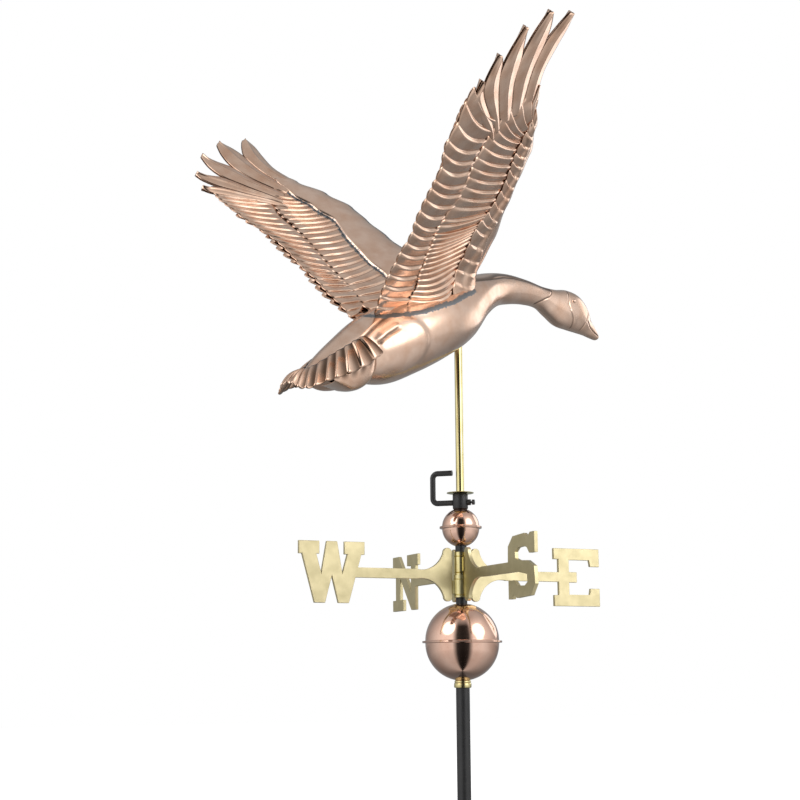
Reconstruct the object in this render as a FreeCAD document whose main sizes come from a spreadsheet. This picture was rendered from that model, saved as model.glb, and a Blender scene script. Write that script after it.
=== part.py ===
import FreeCAD, Part
import math
import os
import re
import Sketcher

# Weathervane: a flying goose in hammered copper that turns on a steel mast, over two brass
# hubs with the four compass letters and two copper balls.
# Frame: Z runs up the mast from the foot of the lower rod, X is the vane's east, Y its north.
# All sizes are in millimetres, all angles in degrees.

Vector = FreeCAD.Vector
doc = FreeCAD.newDocument("weathervane")

SIZES = {
    # Lower rod and ferrule
    "lower_rod_radius": 9.525,
    "lower_rod_neck": 9.1,
    "foot_to_ferrule": 305,
    "ferrule_radius": 12,
    "ferrule_tall": 10.4,
    "ferrule_round": 1.5,
    # Copper balls, each two spun shells with a short skirt and a flat rim at the seam
    "shell_wall": 1.0,
    "rim_thick": 1.3,
    "large_ball_radius": 51.3,
    "large_ball_skirt": 1.8,
    "large_rim_radius": 55.6,
    "small_ball_radius": 26.2,
    "small_ball_skirt": 1.0,
    "small_rim_radius": 29.8,
    # Upper rod with its spindle
    "upper_rod_radius": 7.94,
    "spigot_radius": 5,
    "spigot_long": 20,
    "spindle_radius": 4.5,
    "spindle_tip_round": 1.2,
    # Hubs
    "hub_gap": 8,
    "lower_hub_tall": 31,
    "lower_hub_radius": 12,
    "upper_hub_tall": 32,
    "upper_hub_radius": 10.8,
    "hub_band_deep": 0.9,
    "hub_band_tall": 2.6,
    "hub_groove_half": 0.78,
    "lug_reach": 15.2,
    "lug_wide": 7,
    "ball_gap": 7.6,
    # Compass arms and letters
    "arm_thick": 5,
    "arm_bar_tall": 13.8,
    "ear_wide": 12.8,
    "ear_tall": 39,
    "ear_round_share": 0.52,
    "flare_long": 41,
    "flare_tall": 24,
    "flare_radius": 35,
    "letter_tall": 83,
    "letter_start": 146.5,
    "letter_narrow": 75,
    "letter_wide": 95,
    "letter_rise": 0.5,
    "bar_in_letter_share": 0.33,
    # Stop collar, hook and their fasteners
    "collar_radius": 10.8,
    "collar_tall": 22,
    "collar_round": 1.5,
    "hook_rod_radius": 3.9,
    "hook_reach": 40,
    "hook_bend_radius": 7,
    "hook_tip_reach": 11.4,
    "hook_low_drop": 12.6,
    "hook_gap": 42.6,
    "hook_angle": 140,
    "nut_radius": 4.7,
    "nut_thick": 4.2,
    "screw_radius": 1.5,
    "screw_head_radius": 3.7,
    "screw_head_thick": 3.2,
    "screw_shank_long": 2.4,
    "set_screw_radius": 2.4,
    "set_screw_long": 4,
    # Tube of the figure
    "tube_radius": 5.7,
    "tube_long": 305,
    "flange_radius": 19.3,
    "flange_thick": 1,
    "flange_gap": 0.5,
    "plug_long": 12,
    "plug_head_thick": 3,
    "pivot_ball_radius": 4,
    # Clearances
    "running_clearance": 0.06,
    "seat_clearance": 0.05,
    "overrun": 20,
    # Goose: heading, body, wings and tail
    "heading": 22.75,
    "copper_wall": 1.0,
    "body_long": 345,
    "neck_long": 337,
    "body_deep": 210,
    "tube_in_goose": 300.25,
    "body_half_wide": 57,
    "brace_wide": 16,
    "brace_thick": 1.6,
    "dihedral": 47.4,
    "wing_pitch": 15.8,
    "wing_root_rise": 277.7,
    "wing_root_side": 2.5,
    "wing_root_fore": 1,
    "wing_long": 440,
    "wing_chord": 272,
    "blade_thick": 2,
    "covert_thick": 1.4,
    "feather_tip_deep": 3.5,
    "feather_ridge": 1.6,
    "feather_edge": 0.3,
    "edge_crown": 9,
    "edge_under": 6.5,
    "tail_half_wide": 45,
    "tail_thick": 1.4,
    "tail_tip_round": 3,
    "eye_radius": 3.6,
    "eye_fore_share": 0.742,
    "eye_side_share": 0.36,
    "eye_rise_share": 1.51,
}

sizes = doc.addObject("Spreadsheet::Sheet", "Sizes")
for row, (name, number) in enumerate(SIZES.items(), start=1):
    sizes.set("A%d" % row, name.replace("_", " "))
    sizes.set("B%d" % row, str(number))
    sizes.setAlias("B%d" % row, name)

# Levels are heights above the foot, and lengths that follow from the sizes.
LEVELS = {
    "ferrule_top": "foot_to_ferrule + ferrule_tall",
    "large_hole": "lower_rod_neck + seat_clearance",
    "large_pole_sag": "large_ball_radius - sqrt(large_ball_radius ^ 2 - large_hole ^ 2)",
    "large_seam": "ferrule_top - large_pole_sag + large_ball_radius + large_ball_skirt",
    "large_top": "large_seam + large_ball_skirt + large_ball_radius",
    "lower_hub_base": "large_top + hub_gap",
    "hub_split": "lower_hub_base + lower_hub_tall",
    "upper_hub_top": "hub_split + upper_hub_tall",
    "small_base": "upper_hub_top + ball_gap",
    "small_seam": "small_base + small_ball_radius + small_ball_skirt",
    "small_hole": "upper_rod_radius + seat_clearance",
    "small_pole_sag": "small_ball_radius - sqrt(small_ball_radius ^ 2 - small_hole ^ 2)",
    "collar_base": "small_seam + small_ball_skirt + small_ball_radius - small_pole_sag",
    "collar_top": "collar_base + collar_tall",
    "flange_base": "collar_top + flange_gap",
    "tube_bore": "spindle_radius + running_clearance",
    "tube_top": "flange_base + tube_long",
    "plug_base": "tube_top - plug_long",
    "spindle_top": "plug_base - 2 * pivot_ball_radius",
    "hook_low": "collar_top - hook_low_drop",
    "hook_high": "hook_low + hook_gap",
    "goose_level": "tube_top - tube_in_goose",
    "arm_level": "hub_split + letter_rise",
}

levels = doc.addObject("Spreadsheet::Sheet", "Levels")


def linked(text):
    """Writes the sheet's name before every size or level that an expression uses."""
    def owner(match):
        word = match.group(0)
        if word in SIZES:
            return "Sizes." + word
        if word in LEVELS:
            return "Levels." + word
        return word
    return re.sub(r"[A-Za-z_][A-Za-z_0-9]*", owner, str(text))


for row, (name, rule) in enumerate(LEVELS.items(), start=1):
    levels.set("A%d" % row, name.replace("_", " "))
    levels.set("B%d" % row, "=" + linked(rule).replace("Levels.", ""))
    levels.setAlias("B%d" % row, name)
    doc.recompute()


def value(text):
    """The number that an expression in sizes and levels gives."""
    return float(levels.evalExpression(linked(text).replace("Levels.", "")))


# Nodes that are written as files, in order.
nodes = []


def keep(item, label):
    """Names a finished sub-part and marks it for writing."""
    item.Label = label
    nodes.append(item)
    return item


def turn_about_mast(item, angle):
    """Turns a sub-part about the mast by an angle given as an expression."""
    item.Placement = FreeCAD.Placement(Vector(), FreeCAD.Rotation(Vector(0, 0, 1), value(angle)))
    item.setExpression("Placement.Rotation.Angle", linked(angle))


def origin_plane(body, role):
    return next(part for part in body.Origin.OriginFeatures if part.Role == role)


def arc_between(start, end, radius, side):
    """An arc of a circle from start to end; side 1 bulges to the left of the way, -1 to the right."""
    half = (end - start).multiply(0.5)
    left = Vector(-half.y, half.x, 0).normalize()
    reach = math.sqrt(max(radius ** 2 - half.Length ** 2, 0))
    centre = start + half - left * (side * reach)
    first, last = (end, start) if side > 0 else (start, end)
    angle = [math.atan2(p.y - centre.y, p.x - centre.x) for p in (first, last)]
    if angle[1] < angle[0]:
        angle[1] += 2 * math.pi
    return Part.ArcOfCircle(Part.Circle(centre, Vector(0, 0, 1), radius), *angle)


def outline(body, name, role, corners):
    """A closed sketch through corners, each placed by two expressions.

    A corner is (across, up), or (across, up, radius, side) where the edge that leaves it is an arc.
    """
    sketch = body.newObject("Sketcher::SketchObject", name)
    sketch.AttachmentSupport = [(origin_plane(body, role), "")]
    sketch.MapMode = "FlatFace"
    places = [Vector(value(c[0]), value(c[1]), 0) for c in corners]
    ends = []
    for i, corner in enumerate(corners):
        start, end = places[i], places[(i + 1) % len(places)]
        if len(corner) == 4:
            edge = arc_between(start, end, value(corner[2]), corner[3])
            ends.append((2, 1) if corner[3] > 0 else (1, 2))
        else:
            edge = Part.LineSegment(start, end)
            ends.append((1, 2))
        sketch.addGeometry(edge, False)
    for i, corner in enumerate(corners):
        after = (i + 1) % len(corners)
        sketch.addConstraint(Sketcher.Constraint("Coincident", i, ends[i][1], after, ends[after][0]))
        for kind, rule, number in (("DistanceX", corner[0], places[i].x),
                                   ("DistanceY", corner[1], places[i].y)):
            at = sketch.addConstraint(Sketcher.Constraint(kind, -1, 1, i, ends[i][0], number))
            sketch.setExpression("Constraints[%d]" % at, linked(rule))
        if len(corner) == 4:
            at = sketch.addConstraint(Sketcher.Constraint("Radius", i, value(corner[2])))
            sketch.setExpression("Constraints[%d]" % at, linked(corner[2]))
    return sketch


def revolve(body, name, corners):
    """Adds a solid of revolution about Z; corners give radius and height."""
    sketch = outline(body, name + "_profile", "XZ_Plane", corners)
    spin = body.newObject("PartDesign::Revolution", name)
    spin.Profile = sketch
    spin.ReferenceAxis = (sketch, ["V_Axis"])
    spin.Angle = 360
    return spin


def turned(label, corners):
    """A sub-part turned on the lathe."""
    body = doc.addObject("PartDesign::Body", label + "_body")
    revolve(body, label + "_turning", corners)
    return keep(body, label)


def add_pad(body, name, role, corners, thick, symmetric=True):
    """Adds a pad of the closed outline, symmetric about the sketch or to one side."""
    sketch = outline(body, name + "_outline", role, corners)
    pad = body.newObject("PartDesign::Pad", name)
    pad.Profile = sketch
    pad.SideType = "Symmetric" if symmetric else "One side"
    pad.setExpression("Length", linked(thick))
    return pad


# Lower rod and ferrule


def make_lower_rod():
    return turned("lower_rod", [
        ("0", "0"),
        ("lower_rod_radius", "0"),
        ("lower_rod_radius", "foot_to_ferrule"),
        ("lower_rod_neck", "foot_to_ferrule"),
        ("lower_rod_neck", "large_seam"),
        ("spigot_radius + seat_clearance", "large_seam"),
        ("spigot_radius + seat_clearance", "large_seam - spigot_long"),
        ("0", "large_seam - spigot_long"),
    ])


def make_ferrule():
    bore = "lower_rod_neck + seat_clearance"
    return turned("ferrule", [
        (bore, "foot_to_ferrule"),
        ("ferrule_radius - ferrule_round", "foot_to_ferrule"),
        ("ferrule_radius", "foot_to_ferrule + ferrule_round"),
        ("ferrule_radius", "ferrule_top - 2 * ferrule_round"),
        ("ferrule_radius - ferrule_round", "ferrule_top - ferrule_round"),
        ("ferrule_radius - ferrule_round", "ferrule_top"),
        (bore, "ferrule_top"),
    ])


# Copper balls


def ball_half(label, size, seam, rod, up):
    """One spun shell of a ball: a hemisphere, a skirt and a flat rim at the seam."""
    way = "+" if up else "-"
    outer = size + "_ball_radius"
    inner = "(%s - shell_wall)" % outer
    skirt = "%s %s %s_ball_skirt" % (seam, way, size)
    hole = "(%s + seat_clearance)" % rod
    side = -1 if up else 1
    corners = [
        (inner, seam),
        ("%s_rim_radius" % size, seam),
        ("%s_rim_radius" % size, "%s %s rim_thick" % (seam, way)),
        (outer, "%s %s rim_thick" % (seam, way)),
        (outer, skirt, outer, side),
        (hole, "%s %s sqrt(%s ^ 2 - %s ^ 2)" % (skirt, way, outer, hole)),
        (hole, "%s %s sqrt(%s ^ 2 - %s ^ 2)" % (skirt, way, inner, hole), inner, -side),
        (inner, skirt),
    ]
    return turned(label, corners)


# Upper rod, hubs and set screws


def make_upper_rod():
    return turned("upper_rod", [
        ("0", "large_seam - spigot_long + seat_clearance"),
        ("spigot_radius", "large_seam - spigot_long + seat_clearance"),
        ("spigot_radius", "large_seam"),
        ("upper_rod_radius", "large_seam"),
        ("upper_rod_radius", "collar_top"),
        ("spindle_radius", "collar_top"),
        ("spindle_radius", "spindle_top - spindle_tip_round"),
        ("spindle_radius - spindle_tip_round", "spindle_top"),
        ("0", "spindle_top"),
    ])


def between_arms():
    """The direction halfway between two arms, which the set screws take."""
    return Vector(1, 1, 0).normalize()


def make_hub(label, base, tall, radius, lug_angle):
    """A hub with turned bands, two lugs for its pair of arms and a set screw hole."""
    top = "(%s + %s)" % (base, tall)
    bore = "upper_rod_radius + seat_clearance"
    groove = "(%s - hub_band_deep)" % radius
    body = doc.addObject("PartDesign::Body", label + "_body")
    revolve(body, label + "_turning", [
        (bore, base),
        (radius, base),
        (radius, "%s + hub_band_tall" % base),
        (groove, "%s + hub_band_tall + hub_groove_half" % base),
        (radius, "%s + hub_band_tall + 2 * hub_groove_half" % base),
        (radius, "%s - 2 * hub_band_tall - 2 * hub_groove_half" % top),
        (groove, "%s - 2 * hub_band_tall - hub_groove_half" % top),
        (radius, "%s - 2 * hub_band_tall" % top),
        (radius, top),
        (bore, top),
    ])
    doc.recompute()
    # The lugs stand on the two sides that carry arms, over the hub's plain middle.
    for name, way in (("fore", ""), ("rear", "-")):
        add_pad(body, "%s_%s_lug" % (label, name), "XZ_Plane", [
            ("%s(%s - hub_band_deep)" % (way, radius), "%s + 2 * hub_band_tall" % base),
            ("%slug_reach" % way, "%s + 2 * hub_band_tall" % base),
            ("%slug_reach" % way, "%s - 3 * hub_band_tall" % top),
            ("%s(%s - hub_band_deep)" % (way, radius), "%s - 3 * hub_band_tall" % top),
        ], "lug_wide")
    doc.recompute()
    hole = doc.addObject("Part::Cylinder", label + "_screw_hole")
    hole.setExpression("Radius", linked("set_screw_radius + seat_clearance"))
    hole.setExpression("Height", linked(radius + " + overrun"))
    hole.Placement = FreeCAD.Placement(Vector(), FreeCAD.Rotation(Vector(0, 0, 1), between_arms()))
    hole.setExpression("Placement.Base.z", linked("%s + %s / 2" % (base, tall)))
    hub = doc.addObject("Part::Cut", label)
    hub.Base = body
    hub.Tool = hole
    if lug_angle:
        body.Placement = FreeCAD.Placement(Vector(), FreeCAD.Rotation(Vector(0, 0, 1), lug_angle))
    return keep(hub, label)


def make_set_screws():
    """The two set screws that clamp the hubs on the rod, in one node."""
    screws = []
    for name, base, tall in (("lower", "lower_hub_base", "lower_hub_tall"),
                             ("upper", "hub_split", "upper_hub_tall")):
        screw = doc.addObject("Part::Cylinder", name + "_set_screw")
        screw.setExpression("Radius", linked("set_screw_radius"))
        screw.setExpression("Height", linked("set_screw_long"))
        screw.Placement = FreeCAD.Placement(Vector(), FreeCAD.Rotation(Vector(0, 0, 1), between_arms()))
        for letter in ("x", "y"):
            screw.setExpression("Placement.Base." + letter,
                                linked("(upper_rod_radius + seat_clearance) / sqrt(2)"))
        screw.setExpression("Placement.Base.z", linked("%s + %s / 2" % (base, tall)))
        screws.append(screw)
    group = doc.addObject("Part::Compound", "hub_set_screws")
    group.Links = screws
    return keep(group, "hub_set_screws")


# Compass arms. Letter outlines are shares of the letter's width (outwards) and height.

LETTER_E_SHARES = [
    (0, 1), (1, 1), (1, 0.69), (0.8, 0.69), (0.78, 0.8), (0.33, 0.8), (0.33, 0.59), (0.5, 0.59),
    (0.5, 0.41), (0.33, 0.41), (0.33, 0.2), (0.78, 0.2), (0.8, 0.31), (1, 0.31), (1, 0), (0, 0),
    (0, 0.19), (0.1, 0.19), (0.1, 0.81), (0, 0.81),
]
LETTER_S_SHARES = [
    (0.2, 0.98), (0.62, 1), (0.74, 0.93), (0.84, 1), (1, 1), (1, 0.68), (0.8, 0.68), (0.72, 0.77),
    (0.6, 0.8), (0.38, 0.79), (0.28, 0.73), (0.29, 0.63), (0.42, 0.59), (0.74, 0.57), (0.97, 0.47),
    (1, 0.2), (0.84, 0.03), (0.32, 0.01), (0.2, 0.07), (0.16, 0), (0.02, 0), (0.02, 0.29),
    (0.24, 0.29), (0.36, 0.2), (0.62, 0.19), (0.72, 0.24), (0.71, 0.36), (0.2, 0.44), (0.01, 0.56),
    (0.02, 0.83),
]
LETTER_N_SHARES = [
    (1, 1), (0.75, 1), (0.27, 0.34), (0.27, 0.8), (0.42, 0.8), (0.42, 1), (0, 1), (0, 0.8),
    (0.09, 0.8), (0.09, 0), (0.26, 0), (0.7, 0.6), (0.7, 0.2), (0.57, 0.2), (0.57, 0), (1, 0),
    (1, 0.2), (0.88, 0.2), (0.88, 0.8), (1, 0.8),
]
LETTER_W_HALF_SHARES = [
    (0.5, 0.44), (0.6, 0), (0.76, 0), (0.95, 0.79), (1, 0.79), (1, 1), (0.69, 1), (0.69, 0.79),
    (0.735, 0.79), (0.66, 0.48), (0.58, 1),
]


def letter_w_shares():
    """The W is one half, from its lower notch round to its middle peak, and the half mirrored."""
    mirrored = [(1 - x, z) for x, z in reversed(LETTER_W_HALF_SHARES[1:])]
    return LETTER_W_HALF_SHARES + mirrored


def make_arm(label, angle, shares, wide):
    """A cast arm: two ears beside the mast, a flared bar and a letter at its end."""
    ear_out = "(lug_reach + ear_wide)"
    half = "(arm_bar_tall / 2)"
    flare_end = "(%s + flare_long)" % ear_out
    body = doc.addObject("PartDesign::Body", label + "_body")
    corners = [
        ("lug_reach", "arm_level + ear_tall - ear_wide * ear_round_share", "ear_wide * ear_round_share", 1),
        (ear_out, "arm_level + ear_tall - ear_wide * ear_round_share"),
        (ear_out, "arm_level + %s + flare_tall" % half, "flare_radius", -1),
        (flare_end, "arm_level + %s" % half),
        ("letter_start + letter_narrow * bar_in_letter_share", "arm_level + %s" % half),
        ("letter_start + letter_narrow * bar_in_letter_share", "arm_level - %s" % half),
        (flare_end, "arm_level - %s" % half, "flare_radius", -1),
        (ear_out, "arm_level - %s - flare_tall" % half),
        (ear_out, "arm_level - ear_tall + ear_wide * ear_round_share", "ear_wide * ear_round_share", 1),
        ("lug_reach", "arm_level - ear_tall + ear_wide * ear_round_share"),
    ]
    add_pad(body, label + "_bar", "XZ_Plane", corners, "arm_thick")
    doc.recompute()
    letter = [("letter_start + %s * %s" % (wide, x), "arm_level + letter_tall * (%s - 0.5)" % z)
              for x, z in shares]
    add_pad(body, label + "_letter", "XZ_Plane", letter, "arm_thick")
    body.Placement = FreeCAD.Placement(Vector(), FreeCAD.Rotation(Vector(0, 0, 1), angle))
    return keep(body, label)


# Stop collar, lift hook and their fasteners


def make_collar():
    body = doc.addObject("PartDesign::Body", "stop_collar_body")
    revolve(body, "stop_collar_turning", [
        ("upper_rod_radius + seat_clearance", "collar_base"),
        ("collar_radius - collar_round", "collar_base"),
        ("collar_radius", "collar_base + collar_round"),
        ("collar_radius", "collar_top - collar_round"),
        ("collar_radius - collar_round", "collar_top"),
        ("upper_rod_radius + seat_clearance", "collar_top"),
    ])
    return keep(body, "stop_collar")


def along_hook(item, start, level):
    """Lays a cylinder or prism outwards at the hook's angle, from a radius and a level."""
    angle = math.radians(value("hook_angle"))
    axis = Vector(math.cos(angle), math.sin(angle), 0)
    if start.startswith("-"):
        axis = axis.negative()
    item.Placement = FreeCAD.Placement(Vector(), FreeCAD.Rotation(Vector(0, 0, 1), axis))
    item.setExpression("Placement.Base.x", linked("(%s) * cos(hook_angle * 1deg)" % start))
    item.setExpression("Placement.Base.y", linked("(%s) * sin(hook_angle * 1deg)" % start))
    item.setExpression("Placement.Base.z", linked(level))


def make_hook():
    """The hook is a round rod with two bends, swept in the upright plane at its angle."""
    body = doc.addObject("PartDesign::Body", "lift_hook_body")
    path = body.newObject("Sketcher::SketchObject", "lift_hook_path")
    path.AttachmentSupport = [(origin_plane(body, "XZ_Plane"), "")]
    path.MapMode = "FlatFace"
    spots = [
        ("collar_radius", "hook_low"),
        ("hook_reach - hook_bend_radius", "hook_low", "hook_bend_radius", -1),
        ("hook_reach", "hook_low + hook_bend_radius"),
        ("hook_reach", "hook_high - hook_bend_radius", "hook_bend_radius", -1),
        ("hook_reach - hook_bend_radius", "hook_high"),
        ("hook_tip_reach", "hook_high"),
    ]
    places = [Vector(value(s[0]), value(s[1]), 0) for s in spots]
    ends = []
    for i, spot in enumerate(spots[:-1]):
        if len(spot) == 4:
            edge = arc_between(places[i], places[i + 1], value(spot[2]), spot[3])
            ends.append((1, 2) if spot[3] < 0 else (2, 1))
        else:
            edge = Part.LineSegment(places[i], places[i + 1])
            ends.append((1, 2))
        path.addGeometry(edge, False)
    for i, spot in enumerate(spots):
        last = i == len(spots) - 1
        edge, point = (i - 1, ends[i - 1][1]) if last else (i, ends[i][0])
        for kind, rule, number in (("DistanceX", spot[0], places[i].x), ("DistanceY", spot[1], places[i].y)):
            at = path.addConstraint(Sketcher.Constraint(kind, -1, 1, edge, point, number))
            path.setExpression("Constraints[%d]" % at, linked(rule))
        if i and not last:
            path.addConstraint(Sketcher.Constraint("Coincident", i - 1, ends[i - 1][1], i, ends[i][0]))
        if len(spot) == 4:
            at = path.addConstraint(Sketcher.Constraint("Radius", i, value(spot[2])))
            path.setExpression("Constraints[%d]" % at, linked(spot[2]))
    ring = body.newObject("Sketcher::SketchObject", "lift_hook_section")
    ring.AttachmentSupport = [(origin_plane(body, "YZ_Plane"), "")]
    ring.MapMode = "FlatFace"
    ring.setExpression("AttachmentOffset.Base.z", linked("collar_radius"))
    circle = Part.Circle(Vector(0, value("hook_low"), 0), Vector(0, 0, 1), value("hook_rod_radius"))
    ring.addGeometry(circle, False)
    ring.addConstraint(Sketcher.Constraint("PointOnObject", 0, 3, -2))
    at = ring.addConstraint(Sketcher.Constraint("DistanceY", -1, 1, 0, 3, value("hook_low")))
    ring.setExpression("Constraints[%d]" % at, linked("hook_low"))
    at = ring.addConstraint(Sketcher.Constraint("Radius", 0, value("hook_rod_radius")))
    ring.setExpression("Constraints[%d]" % at, linked("hook_rod_radius"))
    doc.recompute()
    pipe = body.newObject("PartDesign::AdditivePipe", "lift_hook_sweep")
    pipe.Profile = (ring, [""])
    pipe.Spine = (path, ["Edge%d" % (i + 1) for i in range(len(spots) - 1)])
    body.Placement = FreeCAD.Placement(Vector(), FreeCAD.Rotation(Vector(0, 0, 1), value("hook_angle")))
    body.setExpression("Placement.Rotation.Angle", linked("hook_angle"))
    # The round rod meets the round collar: what would run into the collar is cut away.
    bite = doc.addObject("Part::Cylinder", "hook_bite")
    bite.setExpression("Radius", linked("collar_radius"))
    bite.setExpression("Height", linked("collar_tall"))
    bite.setExpression("Placement.Base.z", linked("collar_base"))
    hook = doc.addObject("Part::Cut", "lift_hook")
    hook.Base = body
    hook.Tool = bite
    return keep(hook, "lift_hook")


def make_hook_nut():
    nut = doc.addObject("Part::Prism", "hook_nut")
    nut.Polygon = 6
    nut.setExpression("Circumradius", linked("nut_radius"))
    nut.setExpression("Height", linked("nut_thick"))
    along_hook(nut, "-collar_radius", "hook_low")
    return keep(nut, "hook_nut")


def make_collar_screw():
    """The screw behind the nut: a thin shank and a round head."""
    shank = doc.addObject("Part::Cylinder", "collar_screw_shank")
    shank.setExpression("Radius", linked("screw_radius"))
    shank.setExpression("Height", linked("screw_shank_long + screw_head_thick / 2"))
    along_hook(shank, "-(collar_radius + nut_thick)", "hook_low")
    head = doc.addObject("Part::Cylinder", "collar_screw_head")
    head.setExpression("Radius", linked("screw_head_radius"))
    head.setExpression("Height", linked("screw_head_thick"))
    along_hook(head, "-(collar_radius + nut_thick + screw_shank_long)", "hook_low")
    screw = doc.addObject("Part::Fuse", "collar_screw")
    screw.Base = shank
    screw.Tool = head
    return keep(screw, "collar_screw")


# Tube of the figure, its flange, its plug and the steel ball it rests on


def make_tube_set():
    turned("figure_tube", [
        ("tube_bore", "flange_base"),
        ("tube_radius", "flange_base"),
        ("tube_radius", "tube_top"),
        ("tube_bore", "tube_top"),
    ])
    turned("tube_flange", [
        ("tube_radius", "flange_base"),
        ("flange_radius", "flange_base"),
        ("flange_radius", "flange_base + flange_thick"),
        ("tube_radius", "flange_base + flange_thick"),
    ])
    turned("tube_plug", [
        ("0", "plug_base"),
        ("spindle_radius", "plug_base"),
        ("spindle_radius", "tube_top"),
        ("tube_radius", "tube_top"),
        ("tube_radius", "tube_top + plug_head_thick"),
        ("0", "tube_top + plug_head_thick"),
    ])
    ball = doc.addObject("Part::Sphere", "pivot_ball")
    ball.setExpression("Radius", linked("pivot_ball_radius"))
    ball.setExpression("Placement.Base.z", linked("spindle_top + pivot_ball_radius"))
    keep(ball, "pivot_ball")


# Goose. Its own frame: X forwards, Y to its left, Z up from the foot. Every piece is then turned
# about the mast by the heading.
# A station of the body gives the upper and the lower point of one section on the middle plane and
# the section's half width. Places ahead of the mast are shares of neck_long, places behind it of
# body_long, heights of body_deep above the hubs' split plus belly_under_ring, widths of
# body_half_wide.

BODY_STATION_SHARES = [
    # (upper x, upper z, lower x, lower z, half width)
    (-0.935, 0.555, -0.92, 0.51, 0.10),
    (-0.87, 0.625, -0.80, 0.525, 0.24),
    (-0.80, 0.73, -0.70, 0.545, 0.36),
    (-0.71, 0.86, -0.60, 0.575, 0.50),
    (-0.59, 1.02, -0.44, 0.63, 0.74),
    (-0.44, 1.16, -0.29, 0.73, 0.93),
    (-0.28, 1.29, -0.13, 0.86, 1.00),
    (-0.12, 1.40, 0.02, 1.02, 0.88),
    (0.03, 1.49, 0.13, 1.21, 0.68),
    (0.17, 1.56, 0.24, 1.34, 0.48),
    (0.31, 1.60, 0.34, 1.39, 0.37),
    (0.45, 1.60, 0.45, 1.42, 0.31),
    (0.56, 1.585, 0.55, 1.42, 0.29),
    (0.66, 1.59, 0.62, 1.37, 0.33),
    (0.74, 1.61, 0.69, 1.325, 0.39),
    (0.82, 1.595, 0.77, 1.315, 0.385),
    (0.88, 1.53, 0.845, 1.31, 0.31),
    (0.915, 1.45, 0.895, 1.305, 0.21),
    (0.955, 1.385, 0.95, 1.295, 0.165),
    (0.995, 1.335, 0.985, 1.29, 0.11),
]
SHELL_STATIONS = (1, 17)
# The goose is beaten to shape in strips that run from bill to tail, so many round a section.
BODY_STRIPS = 24


def body_stations():
    """The stations as centre, half height vector and half width, in millimetres."""
    base = value("goose_level")
    deep = value("body_deep")
    found = []
    for upper_x, upper_z, lower_x, lower_z, wide in BODY_STATION_SHARES:
        points = []
        for x, z in ((upper_x, upper_z), (lower_x, lower_z)):
            reach = value("neck_long") if x > 0 else value("body_long")
            points.append(Vector(x * reach, 0, base + z * deep))
        centre = (points[0] + points[1]) * 0.5
        found.append((centre, points[0] - centre, wide * value("body_half_wide")))
    return found


def body_form(inset):
    """The lofted goose: a whole solid, or its inside where inset is the wall."""
    stations = body_stations()
    if inset:
        stations = stations[SHELL_STATIONS[0]:SHELL_STATIONS[1]]
    wires = []
    for centre, up, wide in stations:
        tall = Vector(up).normalize() * (up.Length - inset)
        across = Vector(0, wide - inset, 0)
        turns = [2 * math.pi * i / BODY_STRIPS for i in range(BODY_STRIPS)]
        spots = [centre + tall * math.sin(turn) + across * math.cos(turn) for turn in turns]
        wires.append(Part.makePolygon(spots + spots[:1]))
    return Part.makeLoft(wires, True, bool(inset))


def half_space(side):
    """A box over one side of the middle plane, as large as the figure."""
    over = value("body_long + neck_long + overrun")
    corner = Vector(-over / 2, 0 if side > 0 else -over, value("hub_split"))
    return Part.makeBox(over, over, over, corner)


def head_figure(item):
    """Turns a piece of the figure from the goose's own frame to its heading."""
    turn_about_mast(item, "heading")


def solid_feature(label, shape):
    item = doc.addObject("Part::Feature", label)
    item.Shape = shape
    head_figure(item)
    return keep(item, label)


def make_body():
    """Two hollow halves that meet on the middle plane, with a hole for the tube in the belly."""
    form = body_form(0)
    inside = body_form(value("copper_wall"))
    hole = Part.makeCylinder(value("tube_radius + seat_clearance"), value("tube_long"),
                             Vector(0, 0, value("flange_base + flange_thick")))
    shell = form.cut(inside).cut(hole)
    for name, side in (("right", -1), ("left", 1)):
        solid_feature("body_%s_half" % name, shell.common(half_space(side)))
    return form, inside


# How far the two strips lie below the tube's top, as shares of body_half_wide
BRACE_DROP_SHARES = (0.65, 0.2)


def make_braces(inside):
    """Two strips across the inside of the body that hold the tube, cut to the body's inside."""
    strips = []
    for share in BRACE_DROP_SHARES:
        level = value("tube_top") - share * value("body_half_wide")
        strip = Part.makeBox(value("brace_wide"), 4 * value("body_half_wide"), value("brace_thick"),
                             Vector(-value("brace_wide") / 2, -2 * value("body_half_wide"), level))
        hole = Part.makeCylinder(value("tube_radius + seat_clearance"), 2 * value("body_deep"),
                                 Vector(0, 0, value("flange_base")))
        strips.append(strip.common(inside).cut(hole))
    solid_feature("tube_braces", Part.makeCompound([s for strip in strips for s in strip.Solids]))


# Wings. Each is flat: X local runs back along the chord, Y local out along the span and Z local to
# the under face. Outlines are shares of wing_chord (back) and wing_long (out).

BLADE_FRONT_SHARES = [
    (0.08, 0.04), (0.08, 0.2), (0.16, 0.36), (0.21, 0.46), (0.24, 0.55), (0.33, 0.64), (0.41, 0.71),
    (0.437, 0.755), (0.455, 0.85),
]
PRIMARY_SHARES = [
    # (side before the tip, side after the tip), (notch after it)
    ((0.49, 0.992), (0.535, 0.99), (0.603, 0.873)),
    ((0.68, 0.972), (0.722, 0.963), (0.735, 0.805)),
    ((0.838, 0.904), (0.878, 0.888), (0.842, 0.739)),
    ((0.955, 0.796), (0.992, 0.776), (0.922, 0.70)),
    ((0.985, 0.71), (1.01, 0.69), (0.995, 0.645)),
]
TRAILING_SHARES = [
    (0.762, -0.07), (0.79, 0.0), (0.8, 0.073), (0.795, 0.17), (0.81, 0.255), (0.85, 0.364),
    (0.919, 0.466), (0.956, 0.545), (0.977, 0.595), (0.995, 0.645),
]
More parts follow.
